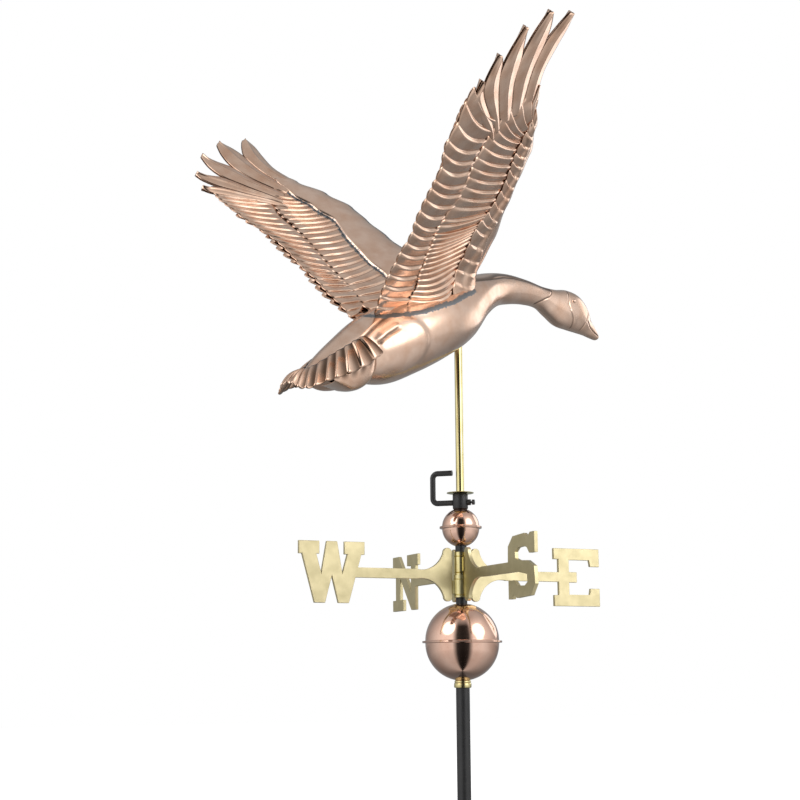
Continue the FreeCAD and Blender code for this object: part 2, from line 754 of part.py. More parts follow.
UNDER_ROW_SHARES = [
    (0.5, -0.07), (0.52, -0.03), (0.55, 0.05), (0.61, 0.143), (0.625, 0.218), (0.635, 0.32),
    (0.625, 0.39), (0.645, 0.477), (0.665, 0.55), (0.635, 0.607), (0.5, 0.7),
]
SMALL_ROW_SHARES = [
    (0.3, -0.03), (0.21, 0.036), (0.17, 0.1), (0.175, 0.16), (0.19, 0.22), (0.21, 0.29),
    (0.21, 0.366), (0.235, 0.434), (0.285, 0.516), (0.3, 0.61), (0.36, 0.675),
]
UPPER_ROW_SHARES = [
    (0.55, -0.05), (0.58, 0.02), (0.614, 0.11), (0.647, 0.21), (0.65, 0.325), (0.672, 0.46),
    (0.65, 0.645), (0.52, 0.7),
]
# (leading edge, rear edge of the upper panel, rear edge of the under bead, place out)
EDGE_STATION_SHARES = [
    (0.0, 0.31, 0.14, 0.03),
    (0.0, 0.33, 0.13, 0.14),
    (0.02, 0.375, 0.13, 0.235),
    (0.09, 0.385, 0.17, 0.36),
    (0.145, 0.36, 0.20, 0.46),
    (0.17, 0.41, 0.24, 0.545),
    (0.26, 0.47, 0.33, 0.63),
    (0.40, 0.50, 0.44, 0.72),
    (0.435, 0.475, 0.455, 0.76),
]
# The crown and the bead of a station: (run from the front, height) as shares
EDGE_CROWN_SHARES = [(0.06, 0.5), (0.2, 0.88), (0.42, 1.0), (0.72, 0.7)]
EDGE_BEAD_SHARES = [(0.75, 0.75), (0.4, 1.0), (0.12, 0.65)]
EDGE_FULL_SHARE = 0.2
COVERT_FRONT_SHARES = [(0.05, -0.02), (0.05, 0.2), (0.22, 0.5), (0.36, 0.66)]
SMALL_FRONT_SHARES = [
    (0.05, -0.02), (0.05, 0.25), (0.11, 0.42), (0.15, 0.52), (0.22, 0.6), (0.34, 0.685),
]
# How many feathers each row has
BLADE_FEATHERS = 17
COVERT_FEATHERS = 17
SMALL_FEATHERS = 15
# The secondaries start a little ahead of the coverts' rear edge, as a share of the chord.
TUCK_SHARE = 0.05
FINGER_TIP_SHARE = 0.45
FEATHER_TIP_SHARE = 0.22


def spaced(points, count):
    """Points at even distances along an open line of straight runs."""
    lengths = [math.dist(a, b) for a, b in zip(points, points[1:])]
    found = []
    for step in range(count + 1):
        rest = sum(lengths) * step / count
        run = 0
        while run < len(lengths) - 1 and rest > lengths[run]:
            rest -= lengths[run]
            run += 1
        part = rest / lengths[run]
        found.append(tuple(a + (b - a) * part for a, b in zip(points[run], points[run + 1])))
    return found


def on_wing(share):
    """A point of the wing's own plane from its shares of the chord and of the span."""
    return Vector(share[0] * value("wing_chord"), share[1] * value("wing_long"), 0)


def bulged(start, end, bulge):
    """An arc from start to end that stands out to the left of the way by bulge."""
    along = end - start
    left = Vector(-along.y, along.x, 0).normalize()
    return Part.Arc(start, (start + end) * 0.5 + left * bulge, end).toShape()


def straight_runs(shares):
    points = [on_wing(share) for share in shares]
    return [Part.makeLine(a, b) for a, b in zip(points, points[1:])]


def cover_edges(front, rear):
    """The outline that a covert row takes on the wing, with its tips."""
    points = [on_wing(share) for share in rear]
    behind = []
    for before, here, after in zip(points[:1] + points, points, points[1:] + points[-1:]):
        run = (after - before).normalize()
        behind.append(here + Vector(run.y, -run.x, 0) * value("feather_tip_deep"))
    corners = [on_wing(share) for share in reversed(front)] + behind
    return [Part.makeLine(a, b) for a, b in zip(corners, corners[1:] + corners[:1])]


def blade_edges():
    """The wing's core: its front, the primaries' fingers and a line inside the secondaries' tips."""
    edges = straight_runs(BLADE_FRONT_SHARES)
    last = on_wing(BLADE_FRONT_SHARES[-1])
    for before, after, notch in PRIMARY_SHARES:
        first, second, third = on_wing(before), on_wing(after), on_wing(notch)
        edges.append(Part.makeLine(last, first))
        edges.append(bulged(first, second, (second - first).Length * FINGER_TIP_SHARE))
        edges.append(Part.makeLine(second, third))
        last = third
    rear = [(back - TUCK_SHARE, out) for back, out in TRAILING_SHARES[:-1]] + TRAILING_SHARES[-1:]
    edges.extend(straight_runs(rear[::-1] + BLADE_FRONT_SHARES[:1]))
    return edges


def flat_sheet(edges, base, top):
    """A flat sheet in the wing's own plane between two heights."""
    face = Part.Face(Part.Wire(edges))
    face.translate(Vector(0, 0, base))
    return face.extrude(Vector(0, 0, top - base))


def feather(front, rear, base, low, high):
    """One feather of a row: low along its outer edge, high along its inner one, with a blunt tip.

    front and rear each give the inner and the outer corner on the wing's plane.
    """
    along = ((rear[0] + rear[1]) * 0.5 - (front[0] + front[1]) * 0.5).normalize()
    along = along * value("feather_tip_deep")
    narrow = (rear[1] - rear[0]) * FEATHER_TIP_SHARE
    tip = (rear[0] + along + narrow, rear[1] + along - narrow)
    up = Vector(0, 0, 1)
    sections = []
    for inner, outer in (front, rear, tip):
        sections.append(Part.makePolygon([
            inner + up * base, inner + up * high, outer + up * low, outer + up * base, inner + up * base]))
    return Part.makeLoft(sections, True, True)


def feather_row(front, rear, count, base, low, high):
    """A row of feathers, from the root outwards, between two lines given in shares."""
    lines = []
    for shares in (front, rear):
        points = [tuple(on_wing(share))[:2] for share in shares]
        lines.append([Vector(x, y, 0) for x, y in spaced(points, count)])
    feathers = []
    for i in range(count):
        corners = [(line[i], line[i + 1]) for line in lines]
        feathers.append(feather(corners[0], corners[1], base, low, high))
    return feathers[0].multiFuse(feathers[1:]).removeSplitter()


def wing_placement():
    """From the wing's own frame to the goose's, for the left wing."""
    lift = math.radians(value("dihedral"))
    pitch = math.radians(value("wing_pitch"))
    out = Vector(0, math.cos(lift), math.sin(lift))
    back = Vector(-math.cos(pitch), math.sin(pitch) * math.sin(lift), -math.sin(pitch) * math.cos(lift))
    under = back.cross(out)
    matrix = FreeCAD.Matrix(
        back.x, out.x, under.x, value("wing_root_fore"),
        back.y, out.y, under.y, value("wing_root_side"),
        back.z, out.z, under.z, value("goose_level + wing_root_rise"),
        0, 0, 0, 1)
    return FreeCAD.Placement(matrix)


def leading_edge_form(inset):
    """The folded leading edge: crowned on the upper face, a narrow bead on the under face.

    Where inset is the wall it gives the fold's inside, which stops four walls short of the panel's
    thin rear edge.
    """
    long, chord = value("wing_long"), value("wing_chord")
    crown, under, blade = value("edge_crown"), value("edge_under"), value("blade_thick")
    wires = []
    for front, panel, bead, out in EDGE_STATION_SHARES:
        taper = min((panel - front) / EDGE_FULL_SHARE, 1)
        level = out * long
        first = front * chord + inset
        last = panel * chord - 4 * inset
        middle = bead * chord - 2 * inset
        corners = [Vector(first, level, 0)]
        for run, rise in EDGE_CROWN_SHARES:
            corners.append(Vector(first + (last - first) * run, level, (inset - crown * taper) * rise))
        corners.append(Vector(last, level, -(blade + inset) / 2))
        corners.append(Vector(last, level, -inset))
        corners.append(Vector(middle, level, -inset))
        for run, rise in EDGE_BEAD_SHARES:
            corners.append(Vector(first + (middle - first) * run, level, (under * taper - inset) * rise))
        wires.append(Part.makePolygon(corners + corners[:1]))
    if inset:
        wires = wires[1:-2]
    return Part.makeLoft(wires, True, bool(inset))


def make_blade():
    """The wing's core with its fingers, and the secondaries on both faces behind the coverts."""
    half = value("blade_thick / 2")
    ridge, edge = value("feather_ridge"), value("feather_edge")
    core = flat_sheet(blade_edges(), -half, half)
    rows = []
    for side, rear in ((1, UNDER_ROW_SHARES), (-1, UPPER_ROW_SHARES)):
        front = [(back - TUCK_SHARE, out) for back, out in rear]
        low, high = side * (half + edge), side * (half + ridge)
        row = feather_row(front, TRAILING_SHARES, BLADE_FEATHERS, 0, low, high)
        cover = flat_sheet(cover_edges(COVERT_FRONT_SHARES, rear), side * half, side * 2 * (half + ridge))
        rows.append(row.cut(cover))
    return core.multiFuse(rows)


def make_wings(form):
    """Five pieces for the left wing, trimmed to the body and to each other, and their mirror images."""
    body_tool = doc.addObject("Part::Feature", "body_whole")
    body_tool.Shape = form
    edge_tool = doc.addObject("Part::Feature", "leading_edge_whole")
    edge_tool.Shape = leading_edge_form(0)
    edge_tool.Placement = wing_placement()
    half, covert, ridge = value("blade_thick / 2"), value("covert_thick"), value("feather_ridge")
    layer = half + covert + ridge
    under = feather_row(COVERT_FRONT_SHARES, UNDER_ROW_SHARES, COVERT_FEATHERS,
                        half, half + covert, layer)
    upper = feather_row(COVERT_FRONT_SHARES, UPPER_ROW_SHARES, COVERT_FEATHERS,
                        -half, -half - covert, -layer)
    small = feather_row(SMALL_FRONT_SHARES, SMALL_ROW_SHARES, SMALL_FEATHERS,
                        layer, layer + covert, layer + covert + ridge)
    edge = leading_edge_form(0).cut(leading_edge_form(value("copper_wall")))
    for name, shape, tools in (
            ("flight_feathers", make_blade(), (edge_tool, body_tool)),
            ("under_coverts", under, (edge_tool, body_tool)),
            ("small_coverts", small, (edge_tool, body_tool)),
            ("upper_coverts", upper, (edge_tool, body_tool)),
            ("leading_edge", edge, (body_tool,))):
        piece = doc.addObject("Part::Feature", name + "_whole")
        piece.Shape = shape
        piece.Placement = wing_placement()
        for tool in tools:
            trimmed = doc.addObject("Part::Cut", "%s_less_%s" % (name, tool.Name))
            trimmed.Base = piece
            trimmed.Tool = tool
            piece = trimmed
        doc.recompute()
        # Crumbs that the trim leaves beyond the leading edge are not part of the piece.
        left = solid_feature("left_" + name, max(piece.Shape.Solids, key=lambda solid: solid.Volume))
        right = doc.addObject("Part::Mirroring", "right_" + name)
        right.Source = left
        right.Base = Vector()
        heading = math.radians(value("heading"))
        right.Normal = Vector(-math.sin(heading), math.cos(heading), 0)
        keep(right, "right_" + name)


# Tail. Each half is a skirt of eight feathers that leaves the body's flank along a line of roots and
# ends in rounded tips. Roots and tips are shares of body_long (back), tail_half_wide (out) and
# body_deep (up, from the same level as the body's stations).

TAIL_ROOT_SHARES = [
    (0.922, 0.01, 0.586), (0.893, 0.11, 0.605), (0.864, 0.18, 0.629), (0.817, 0.27, 0.667),
    (0.777, 0.36, 0.705), (0.736, 0.42, 0.748), (0.693, 0.51, 0.795), (0.649, 0.58, 0.843),
    (0.609, 0.62, 0.871),
]
TAIL_TIP_SHARES = [
    (0.977, 0.01, 0.453), (0.959, 0.36, 0.443), (0.928, 0.56, 0.462), (0.887, 0.71, 0.505),
    (0.841, 0.8, 0.534), (0.788, 0.87, 0.567), (0.716, 0.91, 0.619), (0.635, 0.93, 0.691),
    (0.562, 0.89, 0.781),
]
TAIL_LIFT_SHARES = (-0.45, 0.45, 0.77)


def on_tail(share):
    """A point of the left half of the tail from its shares."""
    return Vector(-share[0] * value("body_long"), share[1] * value("tail_half_wide"),
                  value("goose_level") + share[2] * value("body_deep"))


def make_tail(form):
    lift = Vector(*TAIL_LIFT_SHARES).normalize() * value("tail_thick")
    feathers = []
    roots = [on_tail(share) for share in TAIL_ROOT_SHARES]
    tips = [on_tail(share) for share in TAIL_TIP_SHARES]
    for i in range(len(roots) - 1):
        along = (tips[i] + tips[i + 1]) * 0.5 - (roots[i] + roots[i + 1]) * 0.5
        crest = (tips[i] + tips[i + 1]) * 0.5 + along.normalize() * value("tail_tip_round")
        tip = Part.Arc(tips[i], crest, tips[i + 1]).toShape()
        root = Part.makeLine(roots[i], roots[i + 1])
        feathers.append(Part.makeRuledSurface(root, tip).extrude(lift))
    half = feathers[0].multiFuse(feathers[1:]).cut(form)
    half = max(half.Solids, key=lambda solid: solid.Volume)
    solid_feature("left_tail_fan", half)
    solid_feature("right_tail_fan", half.mirror(Vector(), Vector(0, 1, 0)))


def make_eyes(form):
    """Two low domes on the sides of the head."""
    place = Vector(value("neck_long * eye_fore_share"), 0, value("goose_level + body_deep * eye_rise_share"))
    domes = []
    for side in (1, -1):
        centre = place + Vector(0, side * value("body_half_wide * eye_side_share"), 0)
        ball = Part.makeSphere(value("eye_radius"), centre)
        domes.extend(ball.cut(form).Solids)
    solid_feature("eyes", Part.makeCompound(domes))


make_lower_rod()
make_ferrule()
ball_half("large_ball_lower", "large", "large_seam", "lower_rod_neck", False)
ball_half("large_ball_upper", "large", "large_seam", "upper_rod_radius", True)
make_upper_rod()
make_hub("lower_hub", "lower_hub_base", "lower_hub_tall", "lower_hub_radius", 0)
make_hub("upper_hub", "hub_split", "upper_hub_tall", "upper_hub_radius", 90)
make_set_screws()
make_arm("east_arm", 0, LETTER_E_SHARES, "letter_narrow")
make_arm("north_arm", 90, LETTER_N_SHARES, "letter_wide")
make_arm("west_arm", 180, letter_w_shares(), "letter_wide")
make_arm("south_arm", 270, LETTER_S_SHARES, "letter_narrow")
ball_half("small_ball_lower", "small", "small_seam", "upper_rod_radius", False)
ball_half("small_ball_upper", "small", "small_seam", "upper_rod_radius", True)
make_collar()
make_hook()
make_hook_nut()
make_collar_screw()
make_tube_set()
goose, goose_inside = make_body()
make_braces(goose_inside)
make_wings(goose)
make_tail(goose)
make_eyes(goose)
doc.recompute()

for item in doc.Objects:
    if "Invalid" in item.State or "Error" in item.State:
        raise RuntimeError("%s did not build: %s" % (item.Label, item.State))
for item in nodes:
    if item.Shape.isNull() or not item.Shape.isValid() or not item.Shape.Solids:
        raise RuntimeError("%s has no valid solid" % item.Label)

os.makedirs("parts", exist_ok=True)
for item in nodes:
    item.Shape.exportStep("parts/%s.step" % item.Label)
    box = item.Shape.BoundBox
    print("%-24s solids %d volume %10.1f  x %7.1f..%7.1f  y %7.1f..%7.1f  z %7.1f..%7.1f" % (
        item.Label, len(item.Shape.Solids), item.Shape.Volume,
        box.XMin, box.XMax, box.YMin, box.YMax, box.ZMin, box.ZMax))
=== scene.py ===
"""Weathervane: a flying goose in sheet copper over brass compass letters and copper balls."""

import math

import bmesh
import bpy
from mathutils import Matrix, Vector


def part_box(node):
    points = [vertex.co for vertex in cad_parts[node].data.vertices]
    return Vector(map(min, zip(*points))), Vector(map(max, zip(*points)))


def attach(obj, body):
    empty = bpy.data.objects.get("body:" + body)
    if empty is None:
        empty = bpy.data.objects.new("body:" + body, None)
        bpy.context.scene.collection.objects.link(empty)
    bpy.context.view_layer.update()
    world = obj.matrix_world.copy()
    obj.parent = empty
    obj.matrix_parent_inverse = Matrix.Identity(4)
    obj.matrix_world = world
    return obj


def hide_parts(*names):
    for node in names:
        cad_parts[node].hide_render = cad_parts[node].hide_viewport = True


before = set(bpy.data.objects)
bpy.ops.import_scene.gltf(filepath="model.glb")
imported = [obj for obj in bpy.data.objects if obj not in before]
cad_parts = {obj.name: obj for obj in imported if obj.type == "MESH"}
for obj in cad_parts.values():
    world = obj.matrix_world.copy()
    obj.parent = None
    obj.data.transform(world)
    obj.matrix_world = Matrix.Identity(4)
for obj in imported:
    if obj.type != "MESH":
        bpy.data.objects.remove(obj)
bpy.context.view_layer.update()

MM = 0.001
# The level where the two hubs meet, in millimetres: the goose and the camera are laid out from it
HUB_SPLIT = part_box("upper_hub")[0].z / MM
# Points that are nearer than this, in metres, are one point
SAME_POINT = 1e-6


# Colours and nodes


def colour(code):
    """An sRGB hex colour as the linear colour that a socket takes."""
    parts = [int(code[i:i + 2], 16) / 255 for i in (0, 2, 4)]
    linear = [p / 12.92 if p <= 0.04045 else ((p + 0.055) / 1.055) ** 2.4 for p in parts]
    return (*linear, 1.0)


def spot(size):
    """The scale of a noise whose spots are this wide in millimetres."""
    return 1 / (size * MM)


def add(tree, kind, settings, sockets, out=0):
    """Adds a node with its settings and links and gives one of its outputs.

    Text in a socket is an sRGB hex colour. The setting "stops" holds a ramp's places and colours.
    """
    node = tree.nodes.new("ShaderNode" + kind)
    for name, value in settings.items():
        if name == "stops":
            marks = node.color_ramp.elements
            while len(marks) < len(value):
                marks.new(0.5)
            for mark, (place, code) in zip(marks, value):
                mark.position = place
                mark.color = colour(code)
        else:
            setattr(node, name, value)
    for name, value in sockets.items():
        if isinstance(value, bpy.types.NodeSocket):
            tree.links.new(value, node.inputs[name])
        else:
            node.inputs[name].default_value = colour(value) if isinstance(value, str) else value
    return node.outputs[out] if node.outputs else None


def new_material(name):
    """A material and its empty node tree."""
    material = bpy.data.materials.new(name)
    material.use_nodes = True
    tree = material.node_tree
    tree.nodes.clear()
    return material, tree


SOLDER = "7f8285"


def sheet_copper(name, bright, dull, deep, rough_low, rough_high, dent):
    """Sheet copper under lacquer: pink-brown with a cloudy polish, painted shade in recesses and gaps, grey
    solder.
    """
    material, tree = new_material(name)
    place = add(tree, "TexCoord", {}, {}, "Object")
    cloud = add(tree, "TexNoise", {}, {"Vector": place, "Scale": spot(22), "Detail": 3.0}, "Fac")
    crumb = add(tree, "TexNoise", {}, {"Vector": place, "Scale": spot(4), "Detail": 3.0}, "Fac")
    dents = add(tree, "TexNoise", {}, {"Vector": place, "Scale": spot(6), "Detail": 2.0}, "Fac")
    recess = add(tree, "Attribute", {"attribute_name": "recess"}, {}, "Fac")
    solder = add(tree, "Attribute", {"attribute_name": "solder"}, {}, "Fac")
    metal = add(tree, "ValToRGB", {"stops": [(0.35, bright), (0.7, dull)]}, {"Fac": cloud}, "Color")
    # Painted shade: its share pulls the copper towards the deep colour in valleys, creases, pockets and
    # gaps.
    painted_shade_weight = add(tree, "MapRange", {}, {"Value": recess, "From Min": 0.15, "To Max": 0.9}, "Result")
    metal = add(tree, "Mix", {"data_type": "RGBA"}, {0: painted_shade_weight, 6: metal, 7: deep}, 2)
    ragged = add(tree, "MapRange", {}, {"Value": crumb, "From Min": 0.3, "From Max": 0.7,
                                        "To Min": -0.35, "To Max": 0.35}, "Result")
    laid = add(tree, "Math", {"operation": "ADD"}, {0: solder, 1: ragged})
    covered = add(tree, "MapRange", {}, {"Value": laid, "From Min": 0.42, "From Max": 0.58}, "Result")
    metal = add(tree, "Mix", {"data_type": "RGBA"}, {0: covered, 6: metal, 7: SOLDER}, 2)
    shine = add(tree, "MapRange", {}, {"Value": cloud, "From Min": 0.3, "From Max": 0.7,
                                       "To Min": rough_low, "To Max": rough_high}, "Result")
    matt = add(tree, "Math", {"operation": "MULTIPLY"}, {0: covered, 1: 0.5})
    rough = add(tree, "Math", {"operation": "MAXIMUM"}, {0: shine, 1: matt})
    relief = add(tree, "Bump", {}, {"Height": dents, "Strength": dent, "Distance": 0.3 * MM}, "Normal")
    shader = add(tree, "BsdfPrincipled", {}, {"Base Color": metal, "Metallic": 1.0, "Roughness": rough,
                                              "Normal": relief})
    add(tree, "OutputMaterial", {}, {"Surface": shader})
    return material


def brass(name, bright, deep, rough_low, rough_high, stretch, dent):
    """Yellow brass: cloudy and finely lined, as a sanding belt leaves it, or clean as drawn tube."""
    material, tree = new_material(name)
    place = add(tree, "TexCoord", {}, {}, "Object")
    drawn = add(tree, "Mapping", {}, {"Vector": place, "Scale": stretch}, "Vector")
    cloud = add(tree, "TexNoise", {}, {"Vector": place, "Scale": spot(18), "Detail": 3.0}, "Fac")
    marks = add(tree, "TexNoise", {}, {"Vector": drawn, "Scale": spot(4), "Detail": 4.0}, "Fac")
    metal = add(tree, "ValToRGB", {"stops": [(0.35, deep), (0.62, bright)]}, {"Fac": cloud}, "Color")
    lines = add(tree, "MapRange", {}, {"Value": marks, "From Min": 0.35, "From Max": 0.75,
                                       "To Max": 0.4}, "Result")
    metal = add(tree, "Mix", {"data_type": "RGBA"}, {0: lines, 6: metal, 7: deep}, 2)
    rough = add(tree, "MapRange", {}, {"Value": cloud, "From Min": 0.3, "From Max": 0.7,
                                       "To Min": rough_high, "To Max": rough_low}, "Result")
    relief = add(tree, "Bump", {}, {"Height": marks, "Strength": dent, "Distance": 0.2 * MM}, "Normal")
    shader = add(tree, "BsdfPrincipled", {}, {"Base Color": metal, "Metallic": 1.0, "Roughness": rough,
                                              "Normal": relief})
    add(tree, "OutputMaterial", {}, {"Surface": shader})
    return material


def powder_coat(name):
    """Black powder coat on steel: dark grey, a fine skin and a dull sheen."""
    material, tree = new_material(name)
    place = add(tree, "TexCoord", {}, {}, "Object")
    cloud = add(tree, "TexNoise", {}, {"Vector": place, "Scale": spot(25)}, "Fac")
    skin = add(tree, "TexNoise", {}, {"Vector": place, "Scale": spot(1.5), "Detail": 1.0}, "Fac")
    coat = add(tree, "ValToRGB", {"stops": [(0.3, "232324"), (0.7, "303031")]}, {"Fac": cloud}, "Color")
    rough = add(tree, "MapRange", {}, {"Value": cloud, "To Min": 0.36, "To Max": 0.48}, "Result")
    relief = add(tree, "Bump", {}, {"Height": skin, "Strength": 0.12, "Distance": 0.2 * MM}, "Normal")
    shader = add(tree, "BsdfPrincipled", {}, {"Base Color": coat, "Roughness": rough, "Normal": relief})
    add(tree, "OutputMaterial", {}, {"Surface": shader})
    return material


def bearing_steel(name):
    """Hardened bearing steel, ground and polished: cold grey with a sharp shine."""
    material, tree = new_material(name)
    place = add(tree, "TexCoord", {}, {}, "Object")
    cloud = add(tree, "TexNoise", {}, {"Vector": place, "Scale": spot(3)}, "Fac")
    greys = [(0.3, "c0c2c5"), (0.7, "cccdd0")]
    metal = add(tree, "ValToRGB", {"stops": greys}, {"Fac": cloud}, "Color")
    rough = add(tree, "MapRange", {}, {"Value": cloud, "To Min": 0.08, "To Max": 0.16}, "Result")
    shader = add(tree, "BsdfPrincipled", {}, {"Base Color": metal, "Metallic": 1.0, "Roughness": rough})
    add(tree, "OutputMaterial", {}, {"Surface": shader})
    return material


# Each copper's third colour is the dark of its painted shade.
GOOSE_COPPER = sheet_copper("burnished_sheet_copper", "eaccb8", "dcb8a0", "4f3a2c", 0.17, 0.27, 0.10)
FEATHER_COPPER = sheet_copper("embossed_feather_copper", "e8c8b2", "d8b096", "4a3424", 0.16, 0.26, 0.12)
BALL_COPPER = sheet_copper("spun_polished_copper", "e4c0ad", "dcb29d", "8a5a45", 0.08, 0.13, 0.02)
LETTER_BRASS = brass("sanded_cast_brass", "d8cba2", "cbbf96", 0.34, 0.42, (3.0, 3.0, 0.4), 0.12)
HUB_BRASS = brass("brushed_hub_brass", "e2d8a8", "d0c590", 0.30, 0.40, (0.3, 0.3, 4.0), 0.15)
TURNED_BRASS = brass("turned_brass", "e0d5a0", "cfc088", 0.18, 0.28, (0.3, 0.3, 4.0), 0.05)
DRAWN_BRASS = brass("drawn_brass_tube", "e6daa4", "d6c88e", 0.09, 0.16, (3.0, 3.0, 0.1), 0.02)
MAST_BLACK = powder_coat("black_powder_coat")
STEEL = bearing_steel("ground_bearing_steel")


# Lines and meshes


def curve(points, share):
    """The point at a share of a smooth (Catmull-Rom) curve that passes its points at even shares."""
    place = min(max(share, 0.0), 1.0) * (len(points) - 1)
    at = min(int(place), len(points) - 2)
    t = place - at
    a, b, c, d = (Vector(points[min(max(at + k, 0), len(points) - 1)]) for k in (-1, 0, 1, 2))
    return 0.5 * (2 * b + (c - a) * t + (2 * a - 5 * b + 4 * c - d) * t * t
                  + (3 * b - a - 3 * c + d) * t ** 3)


def ease(value, start, end):
    """0 before start, 1 after end, smooth between."""
    t = min(max((value - start) / (end - start), 0.0), 1.0)
    return t * t * (3 - 2 * t)


def new_shape():
    """An empty shape whose points carry shares of painted shade and of solder."""
    shape = bmesh.new()
    shape.verts.layers.float.new("recess")
    shape.verts.layers.float.new("solder")
    return shape


def add_grid(shape, across, along, place):
    """Adds a grid and lays it where place(across share, along share) gives point, painted shade and solder.
    """
    recess = shape.verts.layers.float["recess"]
    solder = shape.verts.layers.float["solder"]
    made = bmesh.ops.create_grid(shape, x_segments=across, y_segments=along, size=1.0)
    for vert in made["verts"]:
        vert.co, dark, grey = place((vert.co.x + 1) / 2, (vert.co.y + 1) / 2)
        vert[recess] = min(max(dark, 0.0), 1.0)
        vert[solder] = min(max(grey, 0.0), 1.0)


def finish_piece(name, shape, body, material, nodes, thick=0.0, bevel=0.0):
    """Makes the object, its modifiers, material and body, and hides the CAD nodes that it stands for."""
    mesh = bpy.data.meshes.new(name)
    shape.to_mesh(mesh)
    shape.free()
    piece = bpy.data.objects.new(name, mesh)
    bpy.context.scene.collection.objects.link(piece)
    mesh.polygons.foreach_set("use_smooth", [True] * len(mesh.polygons))
    mesh.materials.append(material)
    if thick:
        wall = piece.modifiers.new("wall", "SOLIDIFY")
        wall.thickness = thick * MM
        wall.offset = 0.0
    if bevel:
        edge = piece.modifiers.new("edge", "BEVEL")
        edge.width = bevel * MM
        edge.segments = 2
        edge.limit_method = "ANGLE"
    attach(piece, body)
    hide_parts(*nodes)
    return piece


# Edges sharper than the first angle stay sharp; faces that meet flatter than the second become one
SHARP_ANGLE = math.radians(35)
FLAT_ANGLE = math.radians(1)


def turned_piece(name, profile, body, material, nodes, turns=96):
    """Spins a closed profile of (radius, height) points, in millimetres, about the mast."""
    shape = new_shape()
    verts = [shape.verts.new((r * MM, 0.0, z * MM)) for r, z in profile]
    edges = [shape.edges.new((a, b)) for a, b in zip(verts, verts[1:] + verts[:1])]
    bmesh.ops.spin(shape, geom=verts + edges, cent=(0, 0, 0), axis=(0, 0, 1), angle=2 * math.pi,
                   steps=turns, use_merge=True)
    bmesh.ops.remove_doubles(shape, verts=shape.verts, dist=SAME_POINT)
    bmesh.ops.recalc_face_normals(shape, faces=shape.faces)
    piece = finish_piece(name, shape, body, material, nodes)
    piece.data.set_sharp_from_angle(angle=SHARP_ANGLE)


def copied_piece(node, body, material, bevel):
    """A merged copy of a CAD node with rounded edges."""
    shape = new_shape()
    shape.from_mesh(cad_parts[node].data)
    bmesh.ops.remove_doubles(shape, verts=shape.verts, dist=SAME_POINT)
    bmesh.ops.dissolve_limit(shape, angle_limit=FLAT_ANGLE, verts=shape.verts, edges=shape.edges)
    piece = finish_piece(node + "_piece", shape, body, material, [node], bevel=bevel)
    piece.data.set_sharp_from_angle(angle=SHARP_ANGLE)


# Goose frame: x forwards, y to its left, z up from the hubs' split, in millimetres

HEADING = math.radians(22.75)


def goose_point(x, y, z):
    """From the goose's own frame to the row frame."""
    c, s = math.cos(HEADING), math.sin(HEADING)
    return Vector((c * x - s * y, s * x + c * y, HUB_SPLIT + z)) * MM


# A wing's plane in the goose's frame: its root point and the three ways of its own frame
DIHEDRAL = math.radians(47.4)
WING_PITCH = math.radians(15.8)
WING_ROOT = Vector((1.0, 2.5, 397.7))
WING_OUT = Vector((0.0, math.cos(DIHEDRAL), math.sin(DIHEDRAL)))
WING_BACK = Vector((-math.cos(WING_PITCH), math.sin(WING_PITCH) * math.sin(DIHEDRAL),
                    -math.sin(WING_PITCH) * math.cos(DIHEDRAL)))
WING_UP = -WING_BACK.cross(WING_OUT)


def wing_point(side, back, out, up):
    """From a wing's own frame (back along the chord, out along the span, up off its plane)."""
    p = WING_ROOT + WING_BACK * back + WING_OUT * out + WING_UP * up
    return goose_point(p.x, p.y * side, p.z)


# Wings. Each rib is (back, out) at its front end, then (back, out) at its rear end, in millimetres

UNDER_COVERT_RIBS = [
    (96, -8, 146, -26), (82, 13, 146, -10), (63, 35, 146, 5), (65, 52, 144, 21), (65, 70, 151, 37),
    (70, 90, 153, 54), (73, 107, 160, 70), (74, 117, 162, 84), (73, 127, 167, 100),
    (69, 141, 171, 113), (67, 145, 167, 123), (67, 157, 168, 144), (70, 168, 163, 159),
    (73, 180, 165, 175), (74, 195, 166, 189), (78, 207, 171, 203), (80, 220, 173, 218),
    (87, 233, 172, 234), (92, 245, 174, 250), (93, 255, 168, 263), (94, 261, 165, 279),
    (90, 268, 156, 290), (90, 279, 140, 305), (94, 292, 124, 315), (102, 306, 112, 322)]
UNDER_FLIGHT_RIBS = [
    (133, -24, 198, -32), (143, -10, 205, -16), (145, 3, 212, 1), (152, 20, 216, 17),
    (154, 37, 220, 34), (158, 54, 221, 52), (160, 70, 223, 68), (164, 85, 221, 83),
    (167, 100, 222, 99), (166, 113, 229, 114), (170, 132, 232, 131), (159, 149, 235, 148),
    (161, 166, 236, 164), (163, 181, 238, 176), (171, 200, 240, 195), (175, 215, 254, 214),
    (177, 231, 260, 232), (174, 247, 260, 256), (173, 262, 268, 284), (180, 276, 266, 304)]
SMALL_COVERT_RIBS = [
    (44, -18, 88, -14), (34, -7, 80, -8), (10, 12, 70, 6), (1, 34, 63, 35), (18, 69, 64, 71),
    (36, 110, 74, 117), (34, 134, 67, 145), (39, 171, 66, 179), (47, 204, 76, 211),
    (60, 236, 85, 236), (70, 264, 90, 268), (90, 290, 101, 300)]
UPPER_COVERT_RIBS = [
    (150, -12, 160, -24), (135, 18, 163, 5), (109, 53, 163, 33), (101, 84, 164, 60),
    (105, 107, 167, 89), (106, 130, 168, 118), (106, 157, 170, 147), (107, 186, 172, 174),
    (112, 208, 174, 200), (120, 227, 180, 224), (131, 249, 178, 250), (142, 268, 172, 275),
    (140, 300, 150, 310)]
UPPER_FLIGHT_RIBS = [
    (183, -15, 202, -25), (165, 10, 203, 5), (162, 35, 209, 35), (166, 59, 211, 65),
    (174, 82, 218, 94), (175, 110, 220, 126), (174, 140, 225, 157), (177, 168, 238, 187),
    (186, 200, 250, 214), (192, 228, 260, 243), (188, 254, 268, 268), (186, 268, 268, 288)]
